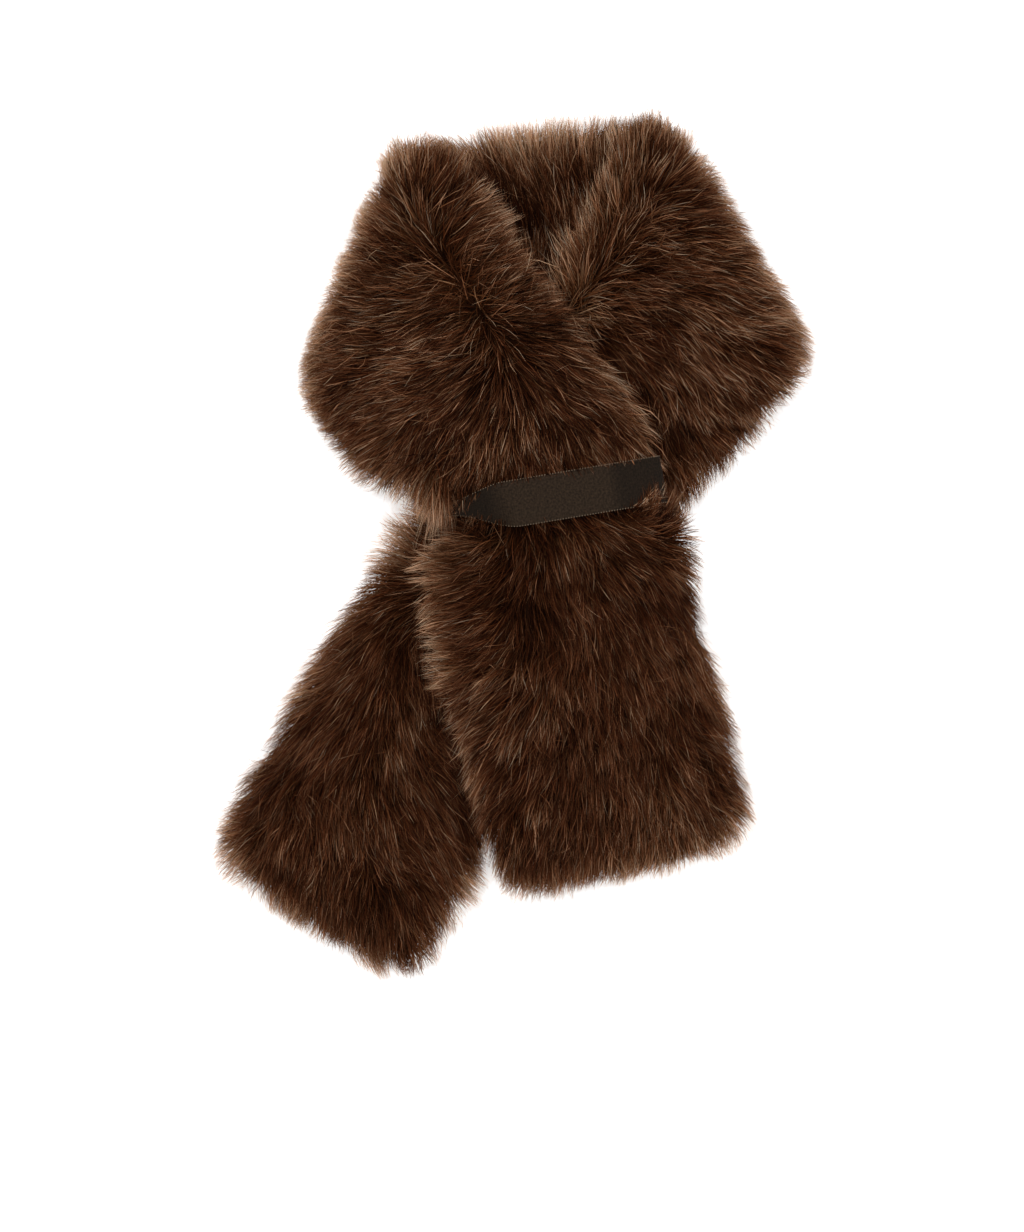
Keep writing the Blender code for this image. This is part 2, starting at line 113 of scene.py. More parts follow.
# Each stretch: its rows, first and last place on them, whether each end is free,
# and the stretches that lie below it
STRETCHES = {
    "back_neck": (NECK_ROWS, 0.0, 3.0, False, False, ()),
    "under_arm": (UNDER_ROWS, 0.0, 10.0, True, False, ("back_neck",)),
    "under_tail": (UNDER_ROWS, 10.0, 18.0, False, True, ()),
    "over_arm": (OVER_ROWS, 0.0, 12.0, True, False, ("back_neck", "under_arm", "under_tail")),
    "over_tail": (OVER_ROWS, 12.0, 23.0, False, True, ("under_arm", "under_tail")),
}
NEXT_STRETCH = {
    "under_arm": "under_tail", "under_tail": "under_arm",
    "over_arm": "over_tail", "over_tail": "over_arm",
}

# How the pile is combed: x, y and the direction in degrees, 0 along +X and 90 along +Y
COMB = {
    "over_arm": [
        (-76, 44, 236), (-62, 205, 120), (-45, 222, 95), (-85, 180, 165), (-100, 140, 180),
        (-110, 100, 185),
        (-66, 176, 172), (-54, 158, 180), (-42, 138, 187), (-30, 118, 195), (-20, 98, 208),
        (-75, 150, 178), (-60, 120, 188), (-95, 70, 205), (-70, 60, 215), (-60, 90, 197),
        (-14, 80, 232), (-40, 60, 225), (-45, 35, 262), (-20, 55, 245), (0, 60, 262),
        (-36, 205, 60), (-40, 188, 45), (-26, 170, 30), (-13, 148, 18), (0, 126, 5),
        (10, 106, 348), (14, 88, 322), (8, 74, 282), (-20, 200, 45), (0, 175, 28),
        (12, 152, 15), (32, 118, 358), (52, 96, 350), (72, 76, 345), (45, 78, 322),
        (30, 95, 340), (20, 55, 275), (42, 60, 292), (60, 60, 308), (78, 62, 325),
    ],
    "under_arm": [
        (110, 205, 20), (130, 170, 5), (150, 130, -5), (155, 105, -10), (140, 75, -45),
        (120, 50, -60), (105, 30, -75), (90, 60, -70), (80, 90, -60), (95, 110, -40),
        (110, 140, -15), (92, 180, 5), (80, 166, -4), (68, 148, -14), (55, 134, -26),
        (44, 122, -38), (75, 222, 80), (95, 222, 55), (60, 226, 90), (62, 205, 78),
        (52, 186, 88), (42, 168, 110), (32, 152, 132), (26, 142, 145), (60, 120, -40),
        (-45, 35, 150),
        (-57, 14, 142), (-40, 20, 150), (-30, 60, 160),
    ],
    "over_tail": [
        (-40, -5, 175), (-45, -30, 190), (-40, -60, 195), (-30, -100, 205), (-22, -140, 212),
        (-14, -172, 228), (-10, -10, 200), (-15, -40, 215), (-10, -80, 230), (0, -120, 245),
        (10, -160, 262), (25, -190, 268), (30, 5, 300), (60, 8, 325), (82, 12, 330),
        (95, 5, 320), (100, -20, 315), (105, -50, 305), (112, -80, 305), (120, -110, 310),
        (127, -140, 310), (120, -165, 290), (60, -20, 300), (60, -60, 285), (60, -110, 272),
        (60, -150, 268), (25, -20, 290), (25, -60, 270), (30, -100, 262),
    ],
    "under_tail": [
        (-60, 10, 142), (-75, 0, 160), (-90, -30, 182), (-110, -65, 192), (-130, -100, 196),
        (-150, -140, 194), (-160, -165, 190), (-150, -185, 232), (-120, -205, 244),
        (-80, -228, 260), (-55, -235, 282), (-40, -220, 308), (-27, -192, 318),
        (-22, -178, 318),
        (-80, -50, 235), (-70, -90, 270), (-100, -110, 245), (-90, -150, 280),
        (-120, -160, 265), (-60, -130, 295), (-40, -160, 300), (-60, -190, 290),
        (-90, -190, 275), (-50, -60, 285), (-45, -100, 300),
    ],
    "back_neck": [
        (-30, 200, 120), (0, 210, 100), (25, 215, 85), (45, 215, 75), (10, 180, 110),
        (20, 165, 95), (60, 225, 80),
    ],
}

# Where a few hairs lie another way: x, y, reach, direction in degrees
COWLICKS = {
    "over_tail": [
        (66, 12, 8, 62), (76, 14, 9, 70), (86, 15, 10, 82), (94, 17, 9, 98), (-22, 4, 9, 158),
    ],
    "over_arm": [(-42, 38, 12, 272), (-30, 34, 9, 258)],
}

# Where the pile is longer and reaches further past the solid: x, y, spread, reach
LONG_PLACES = {
    "over_arm": [
        (-40, 44, 11, 20), (-80, 197, 10, 4), (-30, 220, 10, 4), (64, 88, 14, 8),
        (8, 150, 12, 4), (-8, 172, 12, 2), (28, 130, 10, 9), (-76, 36, 13, 13), (-94, 50, 12, 3),
    ],
    "over_tail": [
        (-10, -168, 13, 11), (8, -192, 14, 8), (-34, -2, 12, 5), (108, -50, 18, 9),
        (116, -78, 16, 13), (122, -105, 18, 7), (130, -138, 18, 10), (88, 13, 9, 12),
    ],
    "under_tail": [
        (-58, 8, 16, 17), (-78, -10, 16, 10), (-28, -180, 14, 8), (-92, -42, 22, 11),
        (-116, -80, 22, 11), (-140, -120, 20, 20), (-156, -150, 18, 9),
        (-158, -182, 16, 14), (-128, -204, 20, 4), (-92, -226, 20, 10), (-50, -236, 18, 13),
        (-34, -212, 12, 13),
    ],
    "under_arm": [
        (-50, 16, 14, 12), (30, 148, 11, 10), (44, 172, 12, 2),
        (150, 142, 18, 13), (136, 166, 12, 3), (140, 70, 18, 3),
    ],
    "back_neck": [(6, 226, 28, 12), (-26, 224, 12, 15)],
}

# Where the pile is lighter or darker: x, y, reach, amount. Some dark marks, named below, are
# painted shade and shadow.
TINT_MARKS = {
    "over_arm": [
        (-8, 184, 14, 0.18), (60, 90, 15, 0.36), (74, 76, 12, 0.30), (-44, 38, 18, -0.02),
        (-4, 98, 20, -0.06), (-90, 60, 24, 0.10), (62, 48, 14, 0.22), (24, 134, 14, -0.22),
        # The dark mark at (84, 56) is a painted shadow at the arm's edge beside the ribbon's right
        # end
        (84, 56, 14, -0.24), (40, 46, 10, 0.12),
    ],
    "under_arm": [
        (48, 186, 14, 0.16), (32, 154, 15, 0.30), (60, 206, 12, 0.16), (75, 160, 24, 0.04),
        # The dark mark at (86, 70) is a painted shadow cast by the over arm's edge
        (40, 134, 10, 0.14), (110, 55, 20, 0.06), (-52, 20, 16, 0.06), (86, 70, 14, -0.16),
    ],
    "over_tail": [
        (-36, -15, 18, 0.12), (-36, -60, 20, 0.26), (-28, -110, 20, 0.22), (10, -25, 12, -0.15),
        # The dark mark at (92, 16) is a painted shadow beside the ribbon's right end
        (60, -170, 25, 0.04), (70, 10, 12, 0.14), (92, 16, 13, -0.55), (30, -5, 10, -0.12),
    ],
    "under_tail": [
        (-60, -5, 18, 0.10), (-80, -35, 18, 0.12), (-55, -70, 20, -0.08), (-40, -120, 18, -0.18),
        (-45, -170, 22, 0.08),
    ],
    "back_neck": [
        # The four dark marks here are painted shade where the arms lie over the neck
        (14, 166, 16, -0.28), (-8, 188, 10, -0.30), (2, 176, 11, -0.24), (36, 188, 9, -0.32),
        (-8, 214, 16, 0.24), (14, 212, 22, 0.26), (36, 218, 14, 0.20),
    ],
}

# The pile
SIDE_PILE = 15.0          # depth of the pile at the strip's edges
TOP_PILE = 10.5           # greatest depth of the pile on top
UNDER_PILE = 6.0          # greatest depth of the pile underneath
TOP_PILE_SHARE = 0.32     # depth of the pile on top, as a share of a pressed stretch
UNDER_PILE_SHARE = 0.2
END_PILE = 14.0           # depth of the pile at a fold or a closed end
CELL = 1.5                # cell of the height tables read off the solids
TIP_REACH = 10.5          # how far the longest locks stand out past the solid
EDGE_REACH = 24.0         # how far in from an outline the pile between two layers is kept
RIM_STEPS = (4.0, 9.0, 14.0)   # how deep the light comes into the rims, in steps
RIM_OVER_LAYER = 0.3      # how light a rim is that lies on another layer, beside one on the floor
LAYER_OVERLAP = 0.28      # how much of a hair may lie past its own edge on the layer below
COMB_WANDER = ((34.0, 0.22, 5), (12.0, 0.26, 21), (5.0, 0.16, 31))   # cell, amount and seed
STRAY_SHARE = 0.07        # share of the hairs that lie across the rest
TINT_SPREAD = {"over_tail": 0.8, "under_tail": 0.74, "back_neck": 1.15}
TINTS = 16                # steps of light to dark in the pile
HUES = 4                  # steps of hue in each
HUE_SHARES = (0.42, 0.28, 0.2, 0.1)
MIDDLE_TINT = 0.395
RANDOM_TINT = 0.16        # how much the hairs differ from one another
CLUMP_TINT = 0.11         # how much the clumps do
PALE_SHARE = 0.14         # share of the hairs with paler tips
PALE_TINT = 0.35
# The sides and rims are made lighter as painted light, as if light came through the hair tips at
# the edges
SIDE_PAINTED_LIGHT = 0.22          # how much lighter the sides of a stretch are
RIM_PAINTED_LIGHT = 0.40           # how much lighter its rims are
ROOT_LIFT = 48.0          # degrees that a hair stands up at its root
TIP_LIFT = 9.0
STRAY_TURN = 3.5          # how much further strays turn than other hairs
STRAY_OVERLAP = 0.9
BIG_TUFT = 75.0           # area of a big tuft
SMALL_TUFT = 11.0
LOOSE_SHARE = 0.16        # share of the hairs that follow no tuft
FLOOR_ROOM = 0.4          # height of the lowest hairs
LAYER_SINK = 4.5          # how far hairs sink into the pile of the layer below
COMPASS = np.linspace(0, 2 * math.pi, 9)[:-1]

# The ribbon loop and the waist that it holds
RIBBON_X, RIBBON_Y = 23.0, 26.4
RIBBON_ANGLE = math.radians(9.5)
RIBBON_HALF = 12.5
WAIST_HALF = 59.8
WAIST_BASE = 28.1         # height of the waist's underside
WAIST_RIM = 35.3          # height of its rounded edges
WAIST_TOP = 48.1
CROWN_POWER = 2.8
FLAT_SHARE = 0.82
RIBBON_RETURN = 0.55
RIBBON_CLEAR = 0.6        # the ribbon's back stands this far off the solid below it
RIBBON_THICKNESS = 0.8
RIBBON_DIP = 6.0          # drop of the lower left corner


def linear(colour):
    """The linear value of an sRGB hex colour."""
    parts = [int(colour[i:i + 2], 16) / 255 for i in (1, 3, 5)]
    return [p / 12.92 if p <= 0.04045 else ((p + 0.055) / 1.055) ** 2.4 for p in parts] + [1.0]


def colour_property(name, description, colour):
    """A colour that the user can change."""
    return FloatVectorProperty(name=name, description=description, subtype="COLOR", size=4,
                               default=linear(colour), min=0, max=1)


def length_property(name, description, default, low, high):
    """A length that the user can change, in metres."""
    return FloatProperty(name=name, description=description, default=default, min=low,
                         max=high, unit="LENGTH")


class FurSettings(bpy.types.PropertyGroup):
    """The pile and the cloth under it."""

    long_hairs: IntProperty(
        name="Long hairs", description="Number of long hairs on the whole scarf",
        default=108000, min=1000, max=120000)
    wool_hairs: IntProperty(
        name="Wool hairs", description="Number of short wool hairs on the whole scarf",
        default=126000, min=1000, max=200000)
    long_length: length_property(
        "Long hair", "Length of a long hair",
        0.026, 0.005, 0.05)
    wool_length: length_property(
        "Wool", "Length of a wool hair",
        0.019, 0.005, 0.05)
    hair_width: length_property(
        "Hair width", "Width of a long hair, drawn as wide as it needs to show",
        0.00038, 0.0001, 0.002)
    # The near-black root colour is partly the pile's own dark roots and partly painted shade deep
    # in the pile
    root: colour_property("Root", "Colour at the roots", "#0c0401")
    tip_dark: colour_property("Dark tip", "Colour of the darkest tips", "#200e06")
    tip_light: colour_property("Light tip", "Colour of the lightest tips", "#c6aa92")


class RibbonSettings(bpy.types.PropertyGroup):
    """The woven ribbon."""

    picot_pitch: length_property(
        "Picot pitch", "Distance between the loops along an edge",
        0.0015, 0.0008, 0.004)
    weave: colour_property("Weave", "Colour of the woven face", "#271d14")
    picot: colour_property("Picot", "Colour of the loops along the edges", "#8c7a66")


class StageSettings(bpy.types.PropertyGroup):
    """The floor, the lights and the camera."""

    floor: colour_property("Floor", "Colour of the floor", "#f4f4f4")
    camera_height: length_property(
        "Camera height", "Height of the camera over the floor",
        3.794, 1.0, 10.0)


def add_node(tree, kind, settings=None, links=None):
    """Add a node with its settings and its inputs, each a value or another node's output."""
    node = tree.nodes.new(kind)
    for name, value in (settings or {}).items():
        setattr(node, name, value)
    for name, value in (links or {}).items():
        if isinstance(value, bpy.types.NodeSocket):
            tree.links.new(value, node.inputs[name])
        else:
            node.inputs[name].default_value = value
    return node


def new_material(name):
    """An empty material with its output, and the tree to fill."""
    material = bpy.data.materials.new(name)
    material.use_nodes = True
    material.node_tree.nodes.clear()
    return material, material.node_tree


def set_ramp(node, stops, mode="LINEAR"):
    """Fill a colour ramp from its places and colours."""
    ramp = node.color_ramp
    ramp.interpolation = mode
    while len(ramp.elements) < len(stops):
        ramp.elements.new(0.5)
    for element, (place, colour) in zip(ramp.elements, stops):
        element.position = place
        element.color = colour


def pile_material(settings):
    """Knitted-back modacrylic pile, brushed and tipped: dark roots, partly painted shade deep in
    the pile, brown hair, paler ends.
    """
    found = bpy.data.materials.get("modacrylic_pile_brushed")
    if found:
        return found
    material, tree = new_material("modacrylic_pile_brushed")
    place = add_node(tree, "ShaderNodeUVMap", {"uv_map": "OFBake"})
    parts = add_node(tree, "ShaderNodeSeparateXYZ", links={0: place.outputs["UV"]})
    steps = add_node(tree, "ShaderNodeMath", {"operation": "MULTIPLY"},
                     {0: parts.outputs["X"], 1: float(TINTS)})
    step = add_node(tree, "ShaderNodeMath", {"operation": "FLOOR"}, {0: steps.outputs[0]})
    light = add_node(tree, "ShaderNodeMath", {"operation": "DIVIDE"},
                     {0: step.outputs[0], 1: TINTS - 1.0})
    hue = add_node(tree, "ShaderNodeMath", {"operation": "FRACT"}, {0: steps.outputs[0]})
    root, dark, pale = list(settings.root), list(settings.tip_dark), list(settings.tip_light)
    body = add_node(tree, "ShaderNodeValToRGB", links={"Fac": light.outputs[0]})
    set_ramp(body, [(0.0, linear("#130702")), (0.35, linear("#281307")),
                    (0.6, linear("#432513")), (0.85, linear("#68472f")), (1.0, linear("#87664e"))])
    tips = add_node(tree, "ShaderNodeValToRGB", links={"Fac": light.outputs[0]})
    set_ramp(tips, [(0.0, dark), (0.35, linear("#452717")), (0.6, linear("#6d4b36")),
                    (0.85, linear("#9a7d67")), (1.0, pale)])
    # Four hues: chestnut, neutral brown, tan and ashen, as dyed lots mix in a pile
    tone = add_node(tree, "ShaderNodeValToRGB", links={"Fac": hue.outputs[0]})
    set_ramp(tone, [(0.0, (1.18, 0.92, 0.75, 1)), (0.25, (1.0, 1.0, 0.94, 1)),
                    (0.5, (1.08, 0.98, 0.84, 1)), (0.75, (0.92, 1.0, 1.02, 1))], "CONSTANT")
    lower = add_node(tree, "ShaderNodeMapRange", {"interpolation_type": "SMOOTHSTEP"},
                     {"Value": parts.outputs["Y"], "From Min": 0.08, "From Max": 0.5})
    upper = add_node(tree, "ShaderNodeMapRange", {"interpolation_type": "SMOOTHSTEP"},
                     {"Value": parts.outputs["Y"], "From Min": 0.5, "From Max": 0.95})
    first = add_node(tree, "ShaderNodeMix", {"data_type": "RGBA"},
                     {0: lower.outputs[0], 6: root, 7: body.outputs[0]})
    second = add_node(tree, "ShaderNodeMix", {"data_type": "RGBA"},
                      {0: upper.outputs[0], 6: first.outputs[2], 7: tips.outputs[0]})
    toned = add_node(tree, "ShaderNodeMix", {"data_type": "RGBA", "blend_type": "MULTIPLY"},
                     {0: 1.0, 6: second.outputs[2], 7: tone.outputs[0]})
    shader = add_node(tree, "ShaderNodeBsdfPrincipled", links={
        "Base Color": toned.outputs[2], "Roughness": 0.55, "Specular IOR Level": 0.02, "IOR": 1.5})
    add_node(tree, "ShaderNodeOutputMaterial", links={"Surface": shader.outputs[0]})
    return material


def backing_material():
    """Knitted backing with dense short wool on it, seen only as dark depth between the hairs."""
    found = bpy.data.materials.get("knitted_backing_wool")
    if found:
        return found
    material, tree = new_material("knitted_backing_wool")
    place = add_node(tree, "ShaderNodeTexCoord")
    # Wool fibres of about 0.8 mm in tufts
    noise = add_node(tree, "ShaderNodeTexNoise", links={
        "Vector": place.outputs["Object"], "Scale": 1 / (0.8 * MM), "Detail": 3.0})
    colour = add_node(tree, "ShaderNodeValToRGB", links={"Fac": noise.outputs["Fac"]})
    set_ramp(colour, [(0.3, linear("#0a0502")), (0.75, linear("#1c0f08"))])
    bump = add_node(tree, "ShaderNodeBump", links={
        "Height": noise.outputs["Fac"], "Distance": 0.0006, "Strength": 0.8})
    shader = add_node(tree, "ShaderNodeBsdfPrincipled", links={
        "Base Color": colour.outputs[0], "Roughness": 0.95, "Specular IOR Level": 0.03,
        "Normal": bump.outputs[0]})
    add_node(tree, "ShaderNodeOutputMaterial", links={"Surface": shader.outputs[0]})
    return material


def link(shape):
    """Put a new object into the scene."""
    bpy.context.scene.collection.objects.link(shape)
    return shape


def smoothstep(low, high, value):
    """Rise smoothly from 0 at the low value to 1 at the high one."""
    share = np.clip((value - low) / (high - low), 0.0, 1.0)
    return share * share * (3.0 - 2.0 * share)


def unit(vectors):
    """The vectors, each one unit long."""
    return vectors / np.maximum(np.linalg.norm(vectors, axis=-1, keepdims=True), 1e-9)


def rows_at(rows, places):
    """Read a table of rows at many places between them, without overshoot."""
    rows = np.asarray(rows, float)
    step = np.diff(rows, axis=0)
    product = step[:-1] * step[1:]
    total = np.where(product > 0, step[:-1] + step[1:], 1.0)
    slopes = np.vstack([step[:1], np.where(product > 0, 2 * product / total, 0.0), step[-1:]])
    index = np.clip(places.astype(int), 0, len(rows) - 2)
    share = (places - index)[:, None]
    square, cube = share ** 2, share ** 3
    return (rows[index] * (2 * cube - 3 * square + 1) + slopes[index] * (cube - 2 * square + share)
            + rows[index + 1] * (3 * square - 2 * cube) + slopes[index + 1] * (cube - square))


class Heights:
    """Top and underside of a solid over a table of cells, in millimetres."""

    def __init__(self, node):
        mesh = frame["nodes"][node].data
        tree = BVHTree.FromPolygons([v.co for v in mesh.vertices],
                                    [tuple(p.vertices) for p in mesh.polygons])
        low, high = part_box(node)
        self.start = np.array([low.x, low.y]) / MM - CELL
        counts = np.ceil((np.array([high.x, high.y]) / MM + CELL - self.start) / CELL).astype(int)
        self.top = np.full(counts + 1, np.nan)
        self.low = np.full(counts + 1, np.nan)
        down, up = Vector((0, 0, -1)), Vector((0, 0, 1))
        for i in range(counts[0] + 1):
            for j in range(counts[1] + 1):
                x, y = (self.start + (i * CELL, j * CELL)) * MM
                hit = tree.ray_cast(Vector((x, y, 0.2)), down)[0]
                if hit is not None:
                    under = tree.ray_cast(Vector((x, y, -0.05)), up)[0]
                    self.top[i, j] = hit.z / MM
                    self.low[i, j] = under.z / MM

    def at(self, points):
        """Top and underside at points in plan, not-a-number outside the solid."""
        cell = np.rint((points[..., :2] - self.start) / CELL).astype(int)
        inside = ((cell >= 0) & (cell < self.top.shape)).all(axis=-1)
        cell = np.where(inside[..., None], cell, 0)
        top, low = self.top[cell[..., 0], cell[..., 1]], self.low[cell[..., 0], cell[..., 1]]
        return np.where(inside, top, np.nan), np.where(inside, low, np.nan)

    def holds(self, points, room=0.0):
        """Whether points are inside the solid, or within that height over or under it."""
        top, low = self.at(points)
        with np.errstate(invalid="ignore"):
            return (points[..., 2] < top + room) & (points[..., 2] > low - room)


HEIGHTS = {}


def heights(node):
    """The height table of a solid, made once."""
    if node not in HEIGHTS:
        HEIGHTS[node] = Heights(node)
    return HEIGHTS[node]


def filled(values):
    """The same table with each gap taking its nearest value along the row, then down it."""
    for axis in (1, 0):
        turned = values if axis == 1 else values.T
        for line in turned:
            known = np.flatnonzero(~np.isnan(line))
            if len(known):
                line[:] = np.interp(np.arange(len(line)), known, line[known])
    return values


def softened(values, times):
    """The same table, smoothed along the strip."""
    for _ in range(times):
        padded = np.vstack([values[:1], values, values[-1:]])
        values = (padded[:-2] + 2 * padded[1:-1] + padded[2:]) / 4
    return values


ACROSS = 25
STATION_STEP = 5.0
CLOSE_STATIONS = (0.0, 0.25, 0.8, 1.7, 3.0, 5.0, 7.5, 10.5)   # from a closed end


def skin_points(name):
    """Rings of the inner tube: over its top from the inner edge to the outer, and back below."""
    rows, first, last, free_first, free_last, _ = STRETCHES[name]
    places = np.linspace(first, last, 200)
    values = rows_at(rows, places)
    middles = (values[:, :2] + values[:, 2:4]) / 2
    run = np.concatenate([[0], np.cumsum(np.linalg.norm(np.diff(middles, axis=0), axis=1))])
    start = END_PILE if free_first else 0.0
    end = run[-1] - (END_PILE if free_last else 0.0)
    stops = np.linspace(start, end, int(round((end - start) / STATION_STEP)) + 1)
    close = np.array(CLOSE_STATIONS)
    if free_first:
        stops = np.concatenate([start + close, stops[3:]])
    if free_last:
        stops = np.concatenate([stops[:-3], end - close[::-1]])
    count = len(stops)
    values = rows_at(rows, np.interp(stops, run, places))
    inner, outer, bow = values[:, None, :2], values[:, None, 2:4], values[:, 4]
    forward = unit(np.gradient(middles, axis=0))
    forward = np.stack([np.interp(stops, run, forward[:, k]) for k in (0, 1)], axis=1)
    across = np.sin(np.linspace(-math.pi / 2, math.pi / 2, ACROSS))
    half = np.linalg.norm(outer - inner, axis=-1) / 2
    reach = across * (1.0 - SIDE_PILE / half)
    plan = (inner + outer) / 2 + (outer - inner) / 2 * reach[..., None]
    plan = plan + forward[:, None] * (bow[:, None] * (1 - reach ** 2))[..., None]
    plan = plan - (CENTRE_X, CENTRE_Y)
    top, low = (softened(filled(table), 3) for table in heights(name).at(plan))
    thick = top - low
    top = top - np.minimum(TOP_PILE, TOP_PILE_SHARE * thick)
    low = low + np.minimum(UNDER_PILE, UNDER_PILE_SHARE * thick)
    from_end = np.full(count, 1e3)
    if free_first:
        from_end = np.minimum(from_end, stops - start)
    if free_last:
        from_end = np.minimum(from_end, end - stops)
    rounding = np.sqrt(1 - (1 - np.clip((from_end + 0.005) / 9.0, 0, 1)) ** 2)[:, None]
    crown = np.sqrt(1 - np.abs(across) ** 3.2)[None] * rounding
    middle = (top + low) / 2
    top, low = middle + (top - middle) * crown, middle + (low - middle) * crown
    over = np.concatenate([plan, top[..., None]], axis=-1)
    under = np.concatenate([plan, low[..., None]], axis=-1)
    return np.concatenate([over, under[:, -2:0:-1]], axis=1)


def ring_normals(rings):
    """Outward normal at each point of the rings."""
    around = np.roll(rings, -1, axis=1) - np.roll(rings, 1, axis=1)
    along = np.gradient(rings, axis=0)
    normals = unit(np.cross(around, along))
    middle = ACROSS // 2
    if normals[len(rings) // 2, middle, 2] < 0:
        normals = -normals
    return normals


def ring_faces(count, around):
    """The four-sided faces between rings of points."""
    faces = []
    for i in range(count - 1):
        for j in range(around):
            after = (j + 1) % around
            faces.append((i * around + j, i * around + after,
                          (i + 1) * around + after, (i + 1) * around + j))
    return faces


def make_skin(name, rings):
    """The inner tube of one stretch as an open sheet of cloth."""
    count, around = rings.shape[:2]
    points = (rings.reshape(-1, 3) * MM).tolist()
    mesh = bpy.data.meshes.new(name + "_cloth")
    mesh.from_pydata(points, [], ring_faces(count, around))
    mesh.materials.append(backing_material())
    mesh.shade_smooth()
    shape = link(bpy.data.objects.new(name + "_cloth", mesh))
    if ring_normals(rings)[count // 2, ACROSS // 2, 2] * mesh.polygons[
            (count // 2) * around + ACROSS // 2].normal.z < 0:
        mesh.flip_normals()
    return shape


def near_edge(points, name, other):
    """Whether points between two stretches are near the plan outline of either."""
    near = np.zeros(len(points), bool)
    for turn in COMPASS:
        aside = points + EDGE_REACH * np.array([math.cos(turn), math.sin(turn), 0.0])
        for node in (name, other):
            near |= np.isnan(heights(node).at(aside)[0])
    return near


def covered_share(points, normals, name):
    """How much of the pile rooted at each point can be seen, from 0 to 1."""
    root_seen = np.ones(len(points))
    tip_seen = np.ones(len(points))
    comb = np.pad(combed(name, points), ((0, 0), (0, 1)))
    tips = points + normals * 10.0 + comb * 17.0
    for other in STRETCHES:
        if other == name:
            continue
        room = 0.0 if NEXT_STRETCH.get(name) == other else 0.8
        root_seen[heights(other).holds(points + normals * 20.0, room)] *= 0.7
        hidden = heights(other).holds(points + normals * 13.0, room)
        root_seen[hidden] = np.where(near_edge(points[hidden], name, other), 0.35, 0.0)
        tip_seen[heights(other).holds(tips, room)] = 0.0
    share = np.maximum(root_seen, 0.75 * tip_seen * (normals[:, 2] > -0.2))
    on_floor = points[:, 2] + normals[:, 2] * 13.0
    share = share * np.where(on_floor < 0.0, 0.10, 1.0)
    along, away = ribbon_place(points)
    under_ribbon = (np.abs(away) < RIBBON_HALF - 2) & (np.abs(along) < WAIST_HALF - 14)
    if name in ("over_arm", "over_tail"):
        share = np.where(under_ribbon & (normals[:, 2] > 0), share * 0.25, share)
        share = np.where((np.abs(away) < RIBBON_HALF + 1) & (normals[:, 2] < 0), 0.0, share)
    return share


def waist_top(along):
    """Height of the waist's top at places along the ribbon."""
    share = np.clip(np.abs(along) / WAIST_HALF, 0, 1)
    return WAIST_RIM + (WAIST_TOP - WAIST_RIM) * np.sqrt(1 - share ** CROWN_POWER)


def ribbon_dip(along, away):
    """How far the ribbon's lower left corner dips where it turns under."""
    return RIBBON_DIP * smoothstep(22.0, 32.0, -along) * np.clip((9.0 - away) / 18.0, 0, 1)


def ribbon_place(points):
    """Each point's place along the ribbon and across it, from the ribbon's middle."""
    x = points[..., 0] + CENTRE_X - RIBBON_X
    y = points[..., 1] + CENTRE_Y - RIBBON_Y
    along = x * math.cos(RIBBON_ANGLE) + y * math.sin(RIBBON_ANGLE)
    away = y * math.cos(RIBBON_ANGLE) - x * math.sin(RIBBON_ANGLE)
    return along, away


def spot(points, x, y, reach):
    """A soft round spot in plan, 1 at its middle."""
    away = (points[:, 0] + CENTRE_X - x) ** 2 + (points[:, 1] + CENTRE_Y - y) ** 2
    return np.exp(-away / reach ** 2)


def further(name, points):
    """How much further the pile reaches past the solid at points."""
    return sum(reach * spot(points, x, y, spread)
               for x, y, spread, reach in LONG_PLACES.get(name, ())) + np.zeros(len(points))


def wander(points, cell, seed):
    """Smooth random values from -1 to 1 that change over about one cell."""
    table = np.random.default_rng(seed).uniform(-1, 1, (64, 64))
    place = points[:, :2] / cell + 640.0
    low = np.floor(place).astype(int)
    part = place - low
    part = part * part * (3 - 2 * part)
    i, j = low[:, 0] % 64, low[:, 1] % 64
    k, m = (i + 1) % 64, (j + 1) % 64
    first = table[i, j] * (1 - part[:, 0]) + table[k, j] * part[:, 0]
    second = table[i, m] * (1 - part[:, 0]) + table[k, m] * part[:, 0]
    return first * (1 - part[:, 1]) + second * part[:, 1]


def combed(name, points):
    """Direction of the pile in plan: shorter than 1 where it parts and stands up."""
    guides = np.asarray(COMB[name], float)
    places = guides[:, :2] - (CENTRE_X, CENTRE_Y)
    turns = np.radians(guides[:, 2])
    ways = np.stack([np.cos(turns), np.sin(turns)], axis=1)
    found = np.empty((len(points), 2))
    for start in range(0, len(points), 20000):
        part = points[start:start + 20000, None, :2] - places[None]
        weight = ((part ** 2).sum(-1) + 100.0) ** -1.5
        found[start:start + 20000] = weight @ ways / weight.sum(1, keepdims=True)
    return found


def cell_corners(table):
    """The table's values at the four corners of each cell, in order round it."""
    turned = np.roll(table, -1, axis=1)
    return [part.reshape(-1, 3) for part in (table[:-1], turned[:-1], turned[1:], table[1:])]


